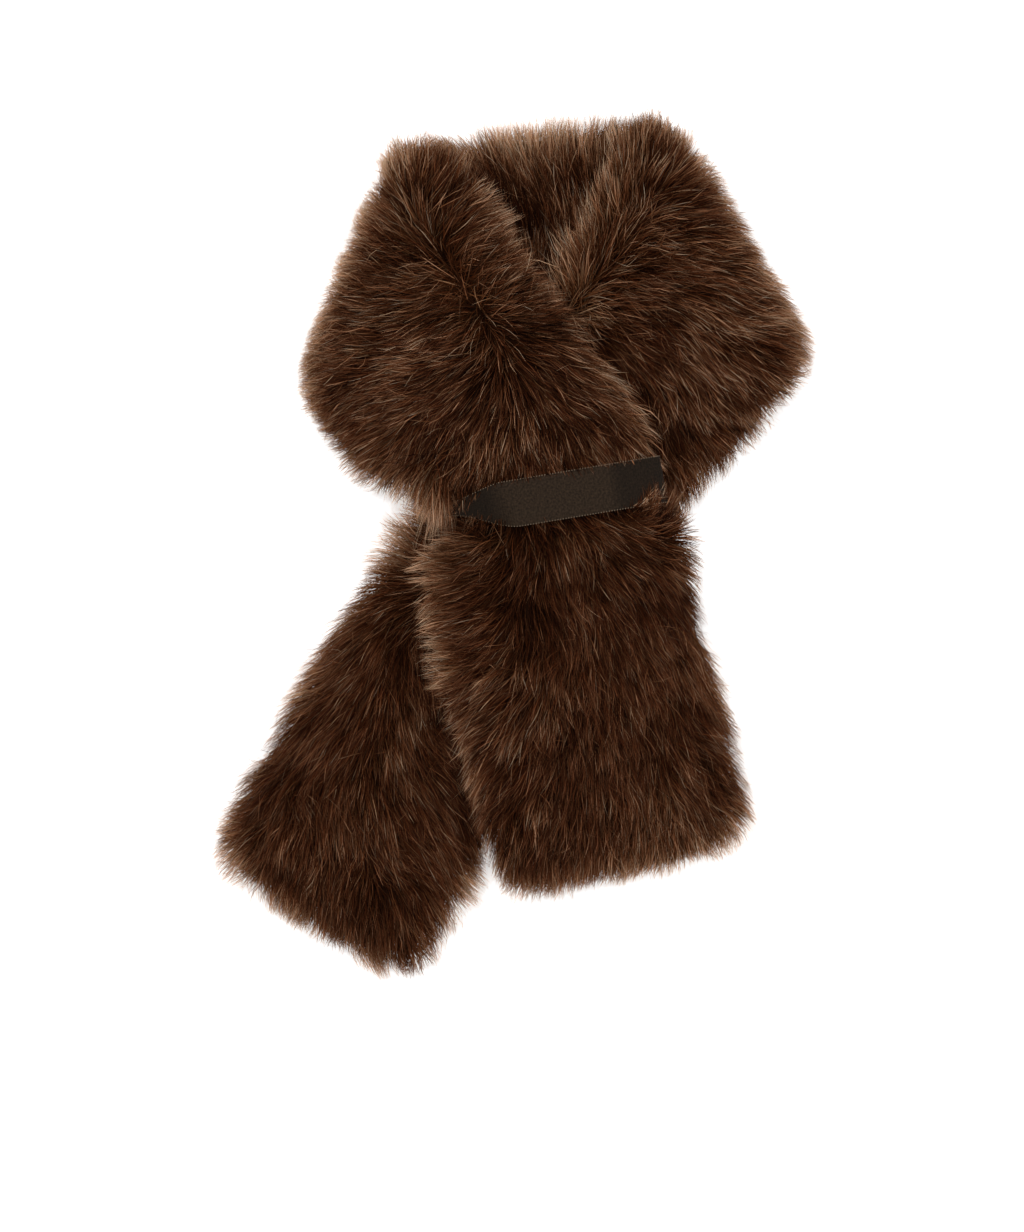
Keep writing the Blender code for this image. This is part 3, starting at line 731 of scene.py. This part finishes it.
def choose_roots(rings, normals, name, count, rng):
    """Random places on the tube, more of them where the pile shows, with their normals."""
    corner, facing = cell_corners(rings), cell_corners(normals)
    area = (np.linalg.norm(np.cross(corner[1] - corner[0], corner[3] - corner[0]), axis=1)
            + np.linalg.norm(np.cross(corner[1] - corner[2], corner[3] - corner[2]), axis=1)) / 2
    middle = sum(corner) / 4
    outward = unit(sum(facing))
    weight = area * covered_share(middle, outward, name) * (1.0 + 0.6 * at_rim(outward))
    weight = weight * (1.0 + further(name, middle) / 14)
    chosen = rng.choice(len(weight), size=count, p=weight / weight.sum())
    s, t = rng.random((2, count, 1))
    shares = [(1 - s) * (1 - t), s * (1 - t), s * t, (1 - s) * t]
    roots = sum(part[chosen] * share for part, share in zip(corner, shares))
    outward = unit(sum(part[chosen] * share for part, share in zip(facing, shares)))
    return roots, outward


def pile_area(rings, normals, name):
    """Area of the tube whose pile can be seen."""
    corner = cell_corners(rings)
    area = np.linalg.norm(np.cross(corner[1] - corner[0], corner[3] - corner[0]), axis=1)
    facing = (normals[:-1] + np.roll(normals, -1, axis=1)[1:]).reshape(-1, 3)
    return (area * covered_share(sum(corner) / 4, unit(facing), name)).sum()


class Strands:
    """A set of hairs by their roots, directions and lengths."""

    def __init__(self, name, roots, normals, lengths, rng, turn, sway):
        self.name, self.roots, self.normals, self.lengths = name, roots, normals, lengths
        comb = combed(name, roots)
        for x, y, reach, turned in COWLICKS.get(name, ()):
            near = spot(roots, x, y, reach)[:, None]
            way = np.array([math.cos(math.radians(turned)), math.sin(math.radians(turned))])
            comb = comb * (1 - near) + way * near
        parted = np.clip(1.3 * np.linalg.norm(comb, axis=1, keepdims=True), 0.35, 1.0)
        for cell, amount, seed in COMB_WANDER:
            drift = np.stack([wander(roots, cell, seed), wander(roots, cell, seed + 1)], axis=1)
            comb += amount * parted * drift
        stray = np.where(rng.random(len(roots)) < STRAY_SHARE, STRAY_TURN, 1.0)[:, None]
        comb += turn * parted * stray * rng.normal(size=comb.shape)
        self.parted = parted[:, 0]
        strength = np.clip(1.25 * np.linalg.norm(comb, axis=1, keepdims=True), 0.62, 1.0)
        comb = np.pad(unit(comb), ((0, 0), (0, 1)))
        self.flat = unit(comb - 0.8 * normals * (comb * normals).sum(1, keepdims=True)) * strength
        top, _ = heights(name).at(roots)
        depth = np.where(normals[:, 2] > 0.5, np.nan_to_num(top - roots[:, 2], nan=12.0), 12.0)
        press = np.clip(depth / 11.0, 0.3, 1.1)
        self.lift = np.radians(ROOT_LIFT + 9.0 * rng.normal(size=len(roots))) * press
        self.fall = np.radians(TIP_LIFT + 7.0 * rng.normal(size=len(roots)))
        self.sway = sway * (0.4 + 0.6 * parted) * rng.normal(size=(len(roots), 3))
        self.overlap = LAYER_OVERLAP * rng.uniform(0.4, 1.6, len(roots))
        self.overlap[stray[:, 0] > 1] = STRAY_OVERLAP

    def paths(self, steps):
        """Points along each hair, from its root to its tip."""
        points = [self.roots]
        for step in range(steps):
            share = (step + 0.5) / steps
            lift = (self.lift + (self.fall - self.lift) * share ** 0.7)[:, None]
            way = self.flat * np.cos(lift) + self.normals * np.sin(lift) + self.sway * share
            way[:, 2] -= 0.35 * share * (1.0 - np.abs(self.normals[:, 2]))
            points.append(points[-1] + unit(way) * (self.lengths / steps)[:, None])
        return np.stack(points, axis=1)

    def trim(self, reach):
        """Shorten each hair to end about where the solid does, that reach beyond it."""
        steps = 12
        longer = further(self.name, self.roots)
        self.lengths = self.lengths * (1.0 + longer / 16.0)
        reach = reach + longer
        points = self.paths(steps)
        inside = heights(self.name).holds(points, 1.5)
        if self.name in NEXT_STRETCH:
            inside |= heights(NEXT_STRETCH[self.name]).holds(points, 1.5)
        on_layer = inside.copy()
        for other in STRETCHES[self.name][5]:
            top, _ = heights(other).at(points)
            with np.errstate(invalid="ignore"):
                on_layer |= points[..., 2] < top + 12.0
        leaves = []
        for kept in (inside, on_layer):
            out = ~kept
            out[:, :3] = False
            leaves.append(np.where(out.any(axis=1), out.argmax(axis=1), steps + 1))
        last = np.minimum(leaves[1], leaves[0] + self.overlap * steps)
        share = (last - 0.5) / steps + reach / self.lengths
        self.lengths = self.lengths * np.clip(share, 0.25, 1.0)


def nearest_of(centres, points):
    """Index of the nearest centre for each point."""
    tree = KDTree(len(centres))
    for index, place in enumerate(centres):
        tree.insert(place, index)
    tree.balance()
    return np.array([tree.find(place)[1] for place in points])


def drawn_to(paths, axes, owner, strength):
    """The paths, drawn together towards their clump's middle hair, most at the tip."""
    share = np.linspace(0, 1, paths.shape[1])[None, :, None] ** 0.85
    return paths + (axes[owner] - paths) * share * strength[:, None, None]


def settle(paths, name, rng):
    """Keep the hairs off the floor, on the layer below, and under or over the ribbon."""
    lowest = np.full(paths.shape[:2], FLOOR_ROOM)
    for other in STRETCHES[name][5]:
        top, _ = heights(other).at(paths)
        lowest = np.maximum(lowest, np.nan_to_num(top - LAYER_SINK, nan=FLOOR_ROOM))
    lowest[:, 0] = -1.0
    paths[..., 2] = np.maximum(paths[..., 2], lowest)
    if name not in ("over_arm", "over_tail"):
        return paths
    along, away = ribbon_place(paths)
    first, last, begin, end = away[:, 0], away[:, -1], along[:, 0], along[:, -1]
    chance = rng.random(len(paths))
    low_begin, high_begin = ribbon_edges(begin)
    low_end, high_end = ribbon_edges(end)
    over_top = (first > high_begin) & (chance < np.where(end > 12, 0.2, 0.1))
    over_top |= (first > high_begin) & (end < -50)
    over_low = (first < low_begin) & (last > first)
    over_low &= (begin > 34) | (begin < -24) & (chance < 0.6)
    # Loose hairs lie on the ribbon and stop just past its edge
    loose = rng.random(len(paths))
    stop_top = high_end + 0.3 - (2.2 + 6.5 * smoothstep(42, 52, -end)) * loose
    stop_low = low_end + 3.0 + 0.85 * np.maximum(begin - 36, 0) - 4 * loose
    with np.errstate(divide="ignore", invalid="ignore"):
        keep_top = (first - stop_top) / (first - last)
        keep_low = (first - stop_low) / (first - last)
    scale = np.ones(len(paths))
    scale = np.where(over_top & (end > -56) & (last < stop_top), keep_top, scale)
    scale = np.where(over_low & (last > stop_low), keep_low, scale)
    scale = np.clip(np.nan_to_num(scale, nan=1.0), 0.2, 1.0)
    paths = paths[:, :1] + (paths - paths[:, :1]) * scale[:, None, None]
    along, away = ribbon_place(paths)
    low, high = ribbon_edges(along)
    held = (away > low - 0.8) & (away < high + 0.8) & (np.abs(along) < WAIST_HALF + 3)
    loose = (over_top | over_low)[:, None]
    roof = waist_top(along) - ribbon_dip(along, away)
    paths[..., 2] = np.where(held & ~loose, np.minimum(paths[..., 2], roof - 0.3), paths[..., 2])
    over = roof + RIBBON_CLEAR + RIBBON_THICKNESS + 0.5
    paths[..., 2] = np.where(held & loose, np.maximum(paths[..., 2], over), paths[..., 2])
    return paths


def at_rim(normals):
    """How much each hair belongs to the sides of its stretch, 0 to 1."""
    return np.clip(1.0 - normals[:, 2] / 0.75, 0.0, 1.0)


def rim_light(name, points):
    """How near points are to the plan outline, where light comes through the pile, 0 to 1."""
    off = np.zeros(len(points))
    for turn in COMPASS:
        way = np.array([math.cos(turn), math.sin(turn), 0.0])
        for distance in RIM_STEPS:
            aside = points + distance * way
            bare = {node: np.isnan(heights(node).at(aside)[0]) for node in STRETCHES}
            own = bare[name] & bare.get(NEXT_STRETCH.get(name), True)
            floor = np.all(list(bare.values()), axis=0)
            off += RIM_OVER_LAYER * own + (1.0 - RIM_OVER_LAYER) * floor
    return np.clip(off / (4.0 * len(RIM_STEPS)), 0.0, 1.0)


def tints(name, points, normals, rim, clump, rng):
    """How light each hair is, from 0 to 1."""
    spread = TINT_SPREAD.get(name, 1.0)
    light = MIDDLE_TINT + 0.08 * wander(points, 30.0, 11) + 0.08 * wander(points, 9.0, 12)
    light = light + spread * (RANDOM_TINT * rng.normal(size=len(points)) + CLUMP_TINT * clump)
    light = light + PALE_TINT * spread * (rng.random(len(points)) < PALE_SHARE)
    for x, y, reach, amount in TINT_MARKS[name]:
        light = light + amount * spot(points, x, y, reach)
    # Sides and rims get painted light
    light = light + SIDE_PAINTED_LIGHT * at_rim(normals) + RIM_PAINTED_LIGHT * rim
    return np.clip(light, 0.0, 0.999)


def hair_mesh(title, paths, facing, width, light, hue, first, reach):
    """One mesh of tapered hairs, each with its own tint in the map of the pile's colours."""
    count, points = paths.shape[:2]
    pairs = points - 1
    share = np.linspace(0, 1, points)
    run = unit(np.gradient(paths, axis=1))
    side = unit(np.cross(run, facing[:, None]))[:, :-1]
    half = width[:, None, None] / 2 * (1 - share[:-1] ** 1.6 * 0.8)[None, :, None]
    body = np.stack([paths[:, :-1] - side * half, paths[:, :-1] + side * half], axis=2)
    corners = np.concatenate([body.reshape(count, 2 * pairs, 3), paths[:, -1:]], axis=1)
    loop, sizes = [], []
    for k in range(pairs - 1):
        loop += [2 * k, 2 * k + 1, 2 * k + 3, 2 * k + 2]
        sizes.append(4)
    loop += [2 * pairs - 2, 2 * pairs - 1, 2 * pairs]
    sizes.append(3)
    loop, sizes = np.array(loop), np.array(sizes)
    base = np.arange(count)[:, None] * (2 * pairs + 1)
    loops = (base + loop[None]).ravel()
    starts = np.concatenate([[0], np.cumsum(np.tile(sizes, count))[:-1]])
    column = np.floor(light * TINTS) * HUES + hue
    left, right = (column + 0.15) / (TINTS * HUES), (column + 0.85) / (TINTS * HUES)
    middle = (left + right) / 2
    u_corner = np.stack([left, right] * pairs + [middle], axis=1)
    v_share = np.repeat(share, 2)[:-1][None]
    v_corner = first[:, None] * (1 - v_share) + reach * v_share
    uv = np.stack([u_corner[:, loop], v_corner[:, loop]], axis=-1)
    mesh = bpy.data.meshes.new(title)
    mesh.vertices.add(count * (2 * pairs + 1))
    mesh.vertices.foreach_set("co", (corners * MM).astype(np.float32).ravel())
    mesh.loops.add(len(loops))
    mesh.loops.foreach_set("vertex_index", loops.astype(np.int32))
    mesh.polygons.add(len(starts))
    mesh.polygons.foreach_set("loop_start", starts.astype(np.int32))
    layer = mesh.uv_layers.new(name="OFBake")
    layer.data.foreach_set("uv", uv.astype(np.float32).ravel())
    mesh.update(calc_edges=True)
    mesh.shade_smooth()
    return link(bpy.data.objects.new(title, mesh))


def make_hairs(name, title, rings, normals, count, length, width, steps, reach, clumping,
               stand, seed):
    """One piece of hair on a stretch: rooted, combed, clumped, settled and tinted."""
    rng = np.random.default_rng(seed)
    area = pile_area(rings, normals, name)
    big_count, small_count = int(area / BIG_TUFT) + 4, int(area / SMALL_TUFT) + 8
    sets = []
    for number, turn, sway in ((big_count, 0.12, 0.10), (small_count, 0.20, 0.16),
                               (count, 0.24, 0.27)):
        roots, outward = choose_roots(rings, normals, name, number, rng)
        lengths = length * rng.normal(1.0, 0.12, number)
        sets.append(Strands(name, roots, outward, lengths, rng, turn, sway))
    big, small, hairs = sets
    big_owner = nearest_of(big.roots, small.roots)
    owner = nearest_of(small.roots, hairs.roots)
    big_reach = TIP_REACH * rng.random(big_count) + stand
    small_reach = 0.6 * big_reach[big_owner] + 0.4 * (
        TIP_REACH * rng.random(small_count) ** 1.5 + stand)
    big.trim(big_reach)
    small.trim(small_reach)
    hairs.trim(small_reach[owner] + 2.0 * rng.normal(size=count) + 0.6)
    big_paths, small_paths, paths = (strands.paths(steps) for strands in sets)
    tuft = 1.0 + 0.5 * at_rim(small.normals)
    small_paths = drawn_to(small_paths, big_paths, big_owner,
                           clumping * 0.55 * tuft * rng.uniform(0.5, 1.2, small_count))
    pull = clumping * rng.uniform(0.3, 0.9, count) * (1.0 + 0.3 * at_rim(hairs.normals))
    pull[rng.random(count) < LOOSE_SHARE] = 0.0
    pull = pull * np.clip(2.2 * hairs.parted - 0.9, 0.0, 1.0)
    paths = drawn_to(paths, small_paths, owner, pull)
    paths = settle(paths, name, rng)
    clump = 0.7 * rng.normal(size=small_count)[owner]
    clump = clump + 0.5 * rng.normal(size=big_count)[big_owner][owner]
    rim = rim_light(name, 0.35 * paths[:, 0] + 0.65 * paths[:, -1])
    light = tints(name, hairs.roots, hairs.normals, rim, clump, rng)
    hue = rng.choice(HUES, size=count, p=HUE_SHARES)
    roll = rng.uniform(-1.1, 1.1, count)[:, None]
    run = unit(paths[:, -1] - paths[:, 0])
    facing = hairs.normals + (0.0, 0.0, 0.8)
    facing = unit(facing - run * (facing * run).sum(1, keepdims=True))
    facing = facing * np.cos(roll) + np.cross(run, facing) * np.sin(roll)
    widths = width * rng.uniform(0.7, 1.25, count)
    # At the rims the dark root colour is skipped as painted light coming through the pile; where
    # the pile parts it is skipped too
    first = np.maximum(0.44 * np.maximum(rim, at_rim(hairs.normals)), 0.5 * (1.0 - hairs.parted))
    return hair_mesh(title, paths, facing, widths, light, hue, first, reach)


AREAS = {}


def share_of(name):
    """The share of the whole pile that one stretch carries."""
    if not AREAS:
        for stretch in STRETCHES:
            rings = skin_points(stretch)
            AREAS[stretch] = pile_area(rings, ring_normals(rings), stretch)
    return AREAS[name] / sum(AREAS.values())


class SCARF_OT_fur_stretch(bpy.types.Operator):
    """Make one stretch of the fur strip: its cloth tube, long hair and wool."""

    bl_idname = "scarf.fur_stretch"
    bl_label = "Fur stretch"

    stretch: StringProperty(name="Stretch", description="Node that it stands for")

    def execute(self, context):
        settings = context.scene.scarf_fur
        name = self.stretch
        rings = skin_points(name)
        normals = ring_normals(rings)
        cloth = make_skin(name, rings)
        share = share_of(name)
        seed = 100 + 10 * list(STRETCHES).index(name)
        material = pile_material(settings)
        # The wool's colour stops at 0.42 of the way along the ramp, near the dark roots: painted
        # shade between the long hairs
        wool = make_hairs(name, name + "_wool", rings, normals, int(settings.wool_hairs * share),
                          settings.wool_length / MM, 1.6 * settings.hair_width / MM, 2, 0.42,
                          0.6, -7.0, seed + 1)
        hair = make_hairs(name, name + "_long_hair", rings, normals,
                          int(settings.long_hairs * share), settings.long_length / MM,
                          settings.hair_width / MM, 3, 1.0, 0.85, 0.0, seed + 2)
        for piece in (wool, hair):
            piece.data.materials.append(material)
        for piece in (cloth, wool, hair):
            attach(piece, "root")
            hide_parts(name)
        return {"FINISHED"}


def ribbon_section():
    """The ribbon's line round the waist, as (along, height), from below right to below left."""
    places = np.linspace(WAIST_HALF, -WAIST_HALF, 241)
    top = waist_top(places)
    start = RIBBON_RETURN * WAIST_HALF
    under_places = np.linspace(start, WAIST_HALF, 60)[:-1]
    past = np.clip((under_places / WAIST_HALF - FLAT_SHARE) / (1 - FLAT_SHARE), 0, 1)
    below = WAIST_BASE + (WAIST_RIM - WAIST_BASE) * (1 - np.sqrt(1 - past ** 2))
    right = np.stack([under_places, below], axis=1)
    over = np.stack([places, top], axis=1)
    left = np.stack([-under_places[::-1], below[::-1]], axis=1)
    return np.concatenate([right, over, left])


def evenly(line, step):
    """The same line with points at an even step."""
    run = np.concatenate([[0], np.cumsum(np.linalg.norm(np.diff(line, axis=0), axis=1))])
    count = int(round(run[-1] / step)) + 1
    at = np.linspace(0, run[-1], count)
    return np.stack([np.interp(at, run, line[:, k]) for k in (0, 1)], axis=1)


def moved_out(line, distance):
    """The line moved out from the waist by a distance."""
    way = unit(np.gradient(line, axis=0))
    return line + np.stack([way[:, 1], -way[:, 0]], axis=1) * distance


def ribbon_material(settings, stations):
    """Woven polyester grosgrain with picot loops: matt, ribbed across, paler at the loops, with
    painted shade at both ends.
    """
    material, tree = new_material("polyester_grosgrain_woven")
    place = add_node(tree, "ShaderNodeUVMap", {"uv_map": "OFBake"})
    parts = add_node(tree, "ShaderNodeSeparateXYZ", links={0: place.outputs["UV"]})
    # Ribs every 1.3 mm are coarser than the real 0.6 mm, so that they show
    grow = add_node(tree, "ShaderNodeVectorMath", {"operation": "MULTIPLY"},
                    {0: place.outputs["UV"], 1: (150.0, 20.0, 1.0)})
    rib = add_node(tree, "ShaderNodeTexWave", {"wave_type": "BANDS", "bands_direction": "X"},
                   {"Vector": grow.outputs[0], "Scale": 0.31, "Distortion": 0.4, "Detail": 1.0})
    speck = add_node(tree, "ShaderNodeTexNoise", links={
        "Vector": grow.outputs[0], "Scale": 1.1, "Detail": 2.0})
    shade = add_node(tree, "ShaderNodeMapRange", links={
        "Value": speck.outputs["Fac"], "From Min": 0.3, "From Max": 0.7, "To Min": 0.4,
        "To Max": 1.5})
    # Both ends are darkened where they turn under: painted shade of the turn
    for start, finish, low, high in ((0.62, 0.70, 1.0, 0.45), (0.30, 0.35, 0.55, 1.0)):
        end_shade = add_node(tree, "ShaderNodeMapRange", {"interpolation_type": "SMOOTHSTEP"},
                        {"Value": parts.outputs["X"], "From Min": start, "From Max": finish,
                         "To Min": low, "To Max": high})
        shade = add_node(tree, "ShaderNodeMath", {"operation": "MULTIPLY"},
                         {0: shade.outputs[0], 1: end_shade.outputs[0]})
    face = add_node(tree, "ShaderNodeVectorMath", {"operation": "SCALE"},
                    {0: list(settings.weave)[:3], "Scale": shade.outputs[0]})
    edge = add_node(tree, "ShaderNodeMath", {"operation": "SUBTRACT"},
                    {0: parts.outputs["Y"], 1: 0.5})
    edge = add_node(tree, "ShaderNodeMath", {"operation": "ABSOLUTE"}, {0: edge.outputs[0]})
    edge = add_node(tree, "ShaderNodeMapRange", links={
        "Value": edge.outputs[0], "From Min": 0.475, "From Max": 0.485})
    # One pale loop for each picot of the edge
    turn = add_node(tree, "ShaderNodeMath", {"operation": "MULTIPLY"},
                    {0: parts.outputs["X"], 1: math.pi * stations})
    loops = add_node(tree, "ShaderNodeMath", {"operation": "COSINE"}, {0: turn.outputs[0]})
    loops = add_node(tree, "ShaderNodeMapRange", links={
        "Value": loops.outputs[0], "From Min": 0.1, "From Max": 0.8})
    edge = add_node(tree, "ShaderNodeMath", {"operation": "MULTIPLY"},
                    {0: edge.outputs[0], 1: loops.outputs[0]})
    colour = add_node(tree, "ShaderNodeMix", {"data_type": "RGBA"},
                      {0: edge.outputs[0], 6: face.outputs[0], 7: list(settings.picot)})
    bump = add_node(tree, "ShaderNodeBump", links={
        "Height": rib.outputs["Fac"], "Distance": 0.00025, "Strength": 0.7})
    shader = add_node(tree, "ShaderNodeBsdfPrincipled", links={
        "Base Color": colour.outputs[2], "Roughness": 0.8, "Specular IOR Level": 0.08,
        "Normal": bump.outputs[0]})
    add_node(tree, "ShaderNodeOutputMaterial", links={"Surface": shader.outputs[0]})
    return material


def ribbon_edges(along):
    """Lower and upper edge of the ribbon at places along its line: it narrows at the left."""
    high = RIBBON_HALF - 6.5 * smoothstep(26.0, 58.0, -along)
    low = 12.0 * smoothstep(20.0, 58.0, -along) - RIBBON_HALF
    return low, high


class SCARF_OT_ribbon(bpy.types.Operator):
    """Make the ribbon loop round the waist, with a picot edge on each side."""

    bl_idname = "scarf.ribbon"
    bl_label = "Ribbon loop"

    def execute(self, context):
        settings = context.scene.scarf_ribbon
        line = evenly(moved_out(ribbon_section(), RIBBON_CLEAR), settings.picot_pitch / MM / 2)
        outer = moved_out(line, RIBBON_THICKNESS)
        low, high = ribbon_edges(line[:, 0])
        across = np.array([0.0, 0.03, 0.06, 0.2, 0.35, 0.5, 0.65, 0.8, 0.94, 0.97, 1.0])
        picot = np.where(np.arange(len(line)) % 2 == 0, 0.55, -0.15)
        rings = []
        for face, shares in ((outer, across), (line, across[::-1])):
            away = low[:, None] + (high - low)[:, None] * shares
            away = away - picot[:, None] * (shares == 0.0) + picot[:, None] * (shares == 1.0)
            x = RIBBON_X + face[:, :1] * math.cos(RIBBON_ANGLE) - away * math.sin(RIBBON_ANGLE)
            y = RIBBON_Y + face[:, :1] * math.sin(RIBBON_ANGLE) + away * math.cos(RIBBON_ANGLE)
            z = face[:, 1:] - ribbon_dip(face[:, :1], away)
            rings.append(np.stack([x - CENTRE_X, y - CENTRE_Y, z], axis=-1))
        rings = np.concatenate(rings, axis=1)
        count, around = rings.shape[:2]
        faces = ring_faces(count, around)
        faces.append(tuple(range(around)))
        faces.append(tuple((count - 1) * around + j for j in range(around))[::-1])
        mesh = bpy.data.meshes.new("ribbon_band")
        mesh.from_pydata((rings.reshape(-1, 3) * MM).tolist(), [], faces)
        layer = mesh.uv_layers.new(name="OFBake")
        shares = np.concatenate([across, across[::-1]])
        for face in mesh.polygons:
            for place in face.loop_indices:
                corner = mesh.loops[place].vertex_index
                up = 0.01 + 0.98 * shares[corner % around]
                layer.data[place].uv = (corner // around / count, up)
        mesh.materials.append(ribbon_material(settings, count))
        mesh.shade_smooth()
        band = link(bpy.data.objects.new("ribbon_band", mesh))
        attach(band, "root")
        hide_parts("ribbon_loop")
        return {"FINISHED"}


FLOOR_REACH = 30.0        # metres from the scarf to the floor's edge
LENS = 200.0
VIEW_Y = -38.8            # the camera looks straight down at this y of the tables


def add_light(name, place, size, power):
    """A square soft light at a place, aimed at the scarf."""
    lamp = bpy.data.lights.new(name, "AREA")
    lamp.size = size
    lamp.energy = power
    shape = link(bpy.data.objects.new(name, lamp))
    shape.location = place
    shape.rotation_euler = (-Vector(place)).to_track_quat("-Z", "Y").to_euler()


def floor_material(settings):
    """Opal acrylic of a light table, sanded matt: even, pale and nearly without shadows."""
    material, tree = new_material("opal_acrylic_matt")
    shader = add_node(tree, "ShaderNodeBsdfPrincipled", links={
        "Base Color": list(settings.floor), "Roughness": 0.9, "Specular IOR Level": 0.1,
        "Emission Color": list(settings.floor), "Emission Strength": 0.5})
    add_node(tree, "ShaderNodeOutputMaterial", links={"Surface": shader.outputs[0]})
    return material


class SCARF_OT_stage(bpy.types.Operator):
    """Make the floor, the soft lights and the camera."""

    bl_idname = "scarf.stage"
    bl_label = "Stage"

    def execute(self, context):
        settings = context.scene.scarf_stage
        mesh = bpy.data.meshes.new("floor")
        reach = FLOOR_REACH
        mesh.from_pydata([(-reach, -reach, 0), (reach, -reach, 0), (reach, reach, 0),
                          (-reach, reach, 0)], [], [(0, 1, 2, 3)])
        mesh.materials.append(floor_material(settings))
        link(bpy.data.objects.new("floor", mesh))
        add_light("key_light", (-0.8, 1.0, 2.4), 1.8, 36.0)
        add_light("fill_light", (1.3, -1.0, 2.2), 2.0, 18.0)
        world = bpy.data.worlds.new("studio")
        world.use_nodes = True
        back = world.node_tree.nodes["Background"]
        back.inputs["Color"].default_value = (1.0, 1.0, 1.0, 1.0)
        back.inputs["Strength"].default_value = 0.85
        context.scene.world = world
        context.scene.view_settings.view_transform = "Standard"
        camera = bpy.data.cameras.new("camera")
        camera.lens = LENS
        camera.clip_end = 50.0
        shape = link(bpy.data.objects.new("camera", camera))
        shape.location = (-CENTRE_X * MM, (VIEW_Y - CENTRE_Y) * MM, settings.camera_height)
        context.scene.camera = shape
        return {"FINISHED"}


class SCARF_PT_panel(bpy.types.Panel):
    """Lists the scarf's pieces and their settings."""

    bl_idname = "SCARF_PT_panel"
    bl_label = "Fur scarf"
    bl_space_type = "VIEW_3D"
    bl_region_type = "UI"
    bl_category = "Fur scarf"

    def draw(self, context):
        layout = self.layout
        scene = context.scene
        for group in (scene.scarf_fur, scene.scarf_ribbon, scene.scarf_stage):
            box = layout.box()
            for name in group.__annotations__:
                box.prop(group, name)
        for name in STRETCHES:
            layout.operator("scarf.fur_stretch", text=name).stretch = name
        layout.operator("scarf.ribbon")
        layout.operator("scarf.stage")


CLASSES = (FurSettings, RibbonSettings, StageSettings, SCARF_OT_fur_stretch, SCARF_OT_ribbon,
           SCARF_OT_stage, SCARF_PT_panel)


def register():
    """Register the classes and put their settings on the scene."""
    for item in CLASSES:
        bpy.utils.register_class(item)
    bpy.types.Scene.scarf_fur = PointerProperty(type=FurSettings)
    bpy.types.Scene.scarf_ribbon = PointerProperty(type=RibbonSettings)
    bpy.types.Scene.scarf_stage = PointerProperty(type=StageSettings)


def unregister():
    """Take the settings and the classes away."""
    del bpy.types.Scene.scarf_fur
    del bpy.types.Scene.scarf_ribbon
    del bpy.types.Scene.scarf_stage
    for item in reversed(CLASSES):
        bpy.utils.unregister_class(item)


def main():
    """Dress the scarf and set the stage."""
    register()
    for name in STRETCHES:
        bpy.ops.scarf.fur_stretch(stretch=name)
    bpy.ops.scarf.ribbon()
    bpy.ops.scarf.stage()


if __name__ == "__main__":
    main()
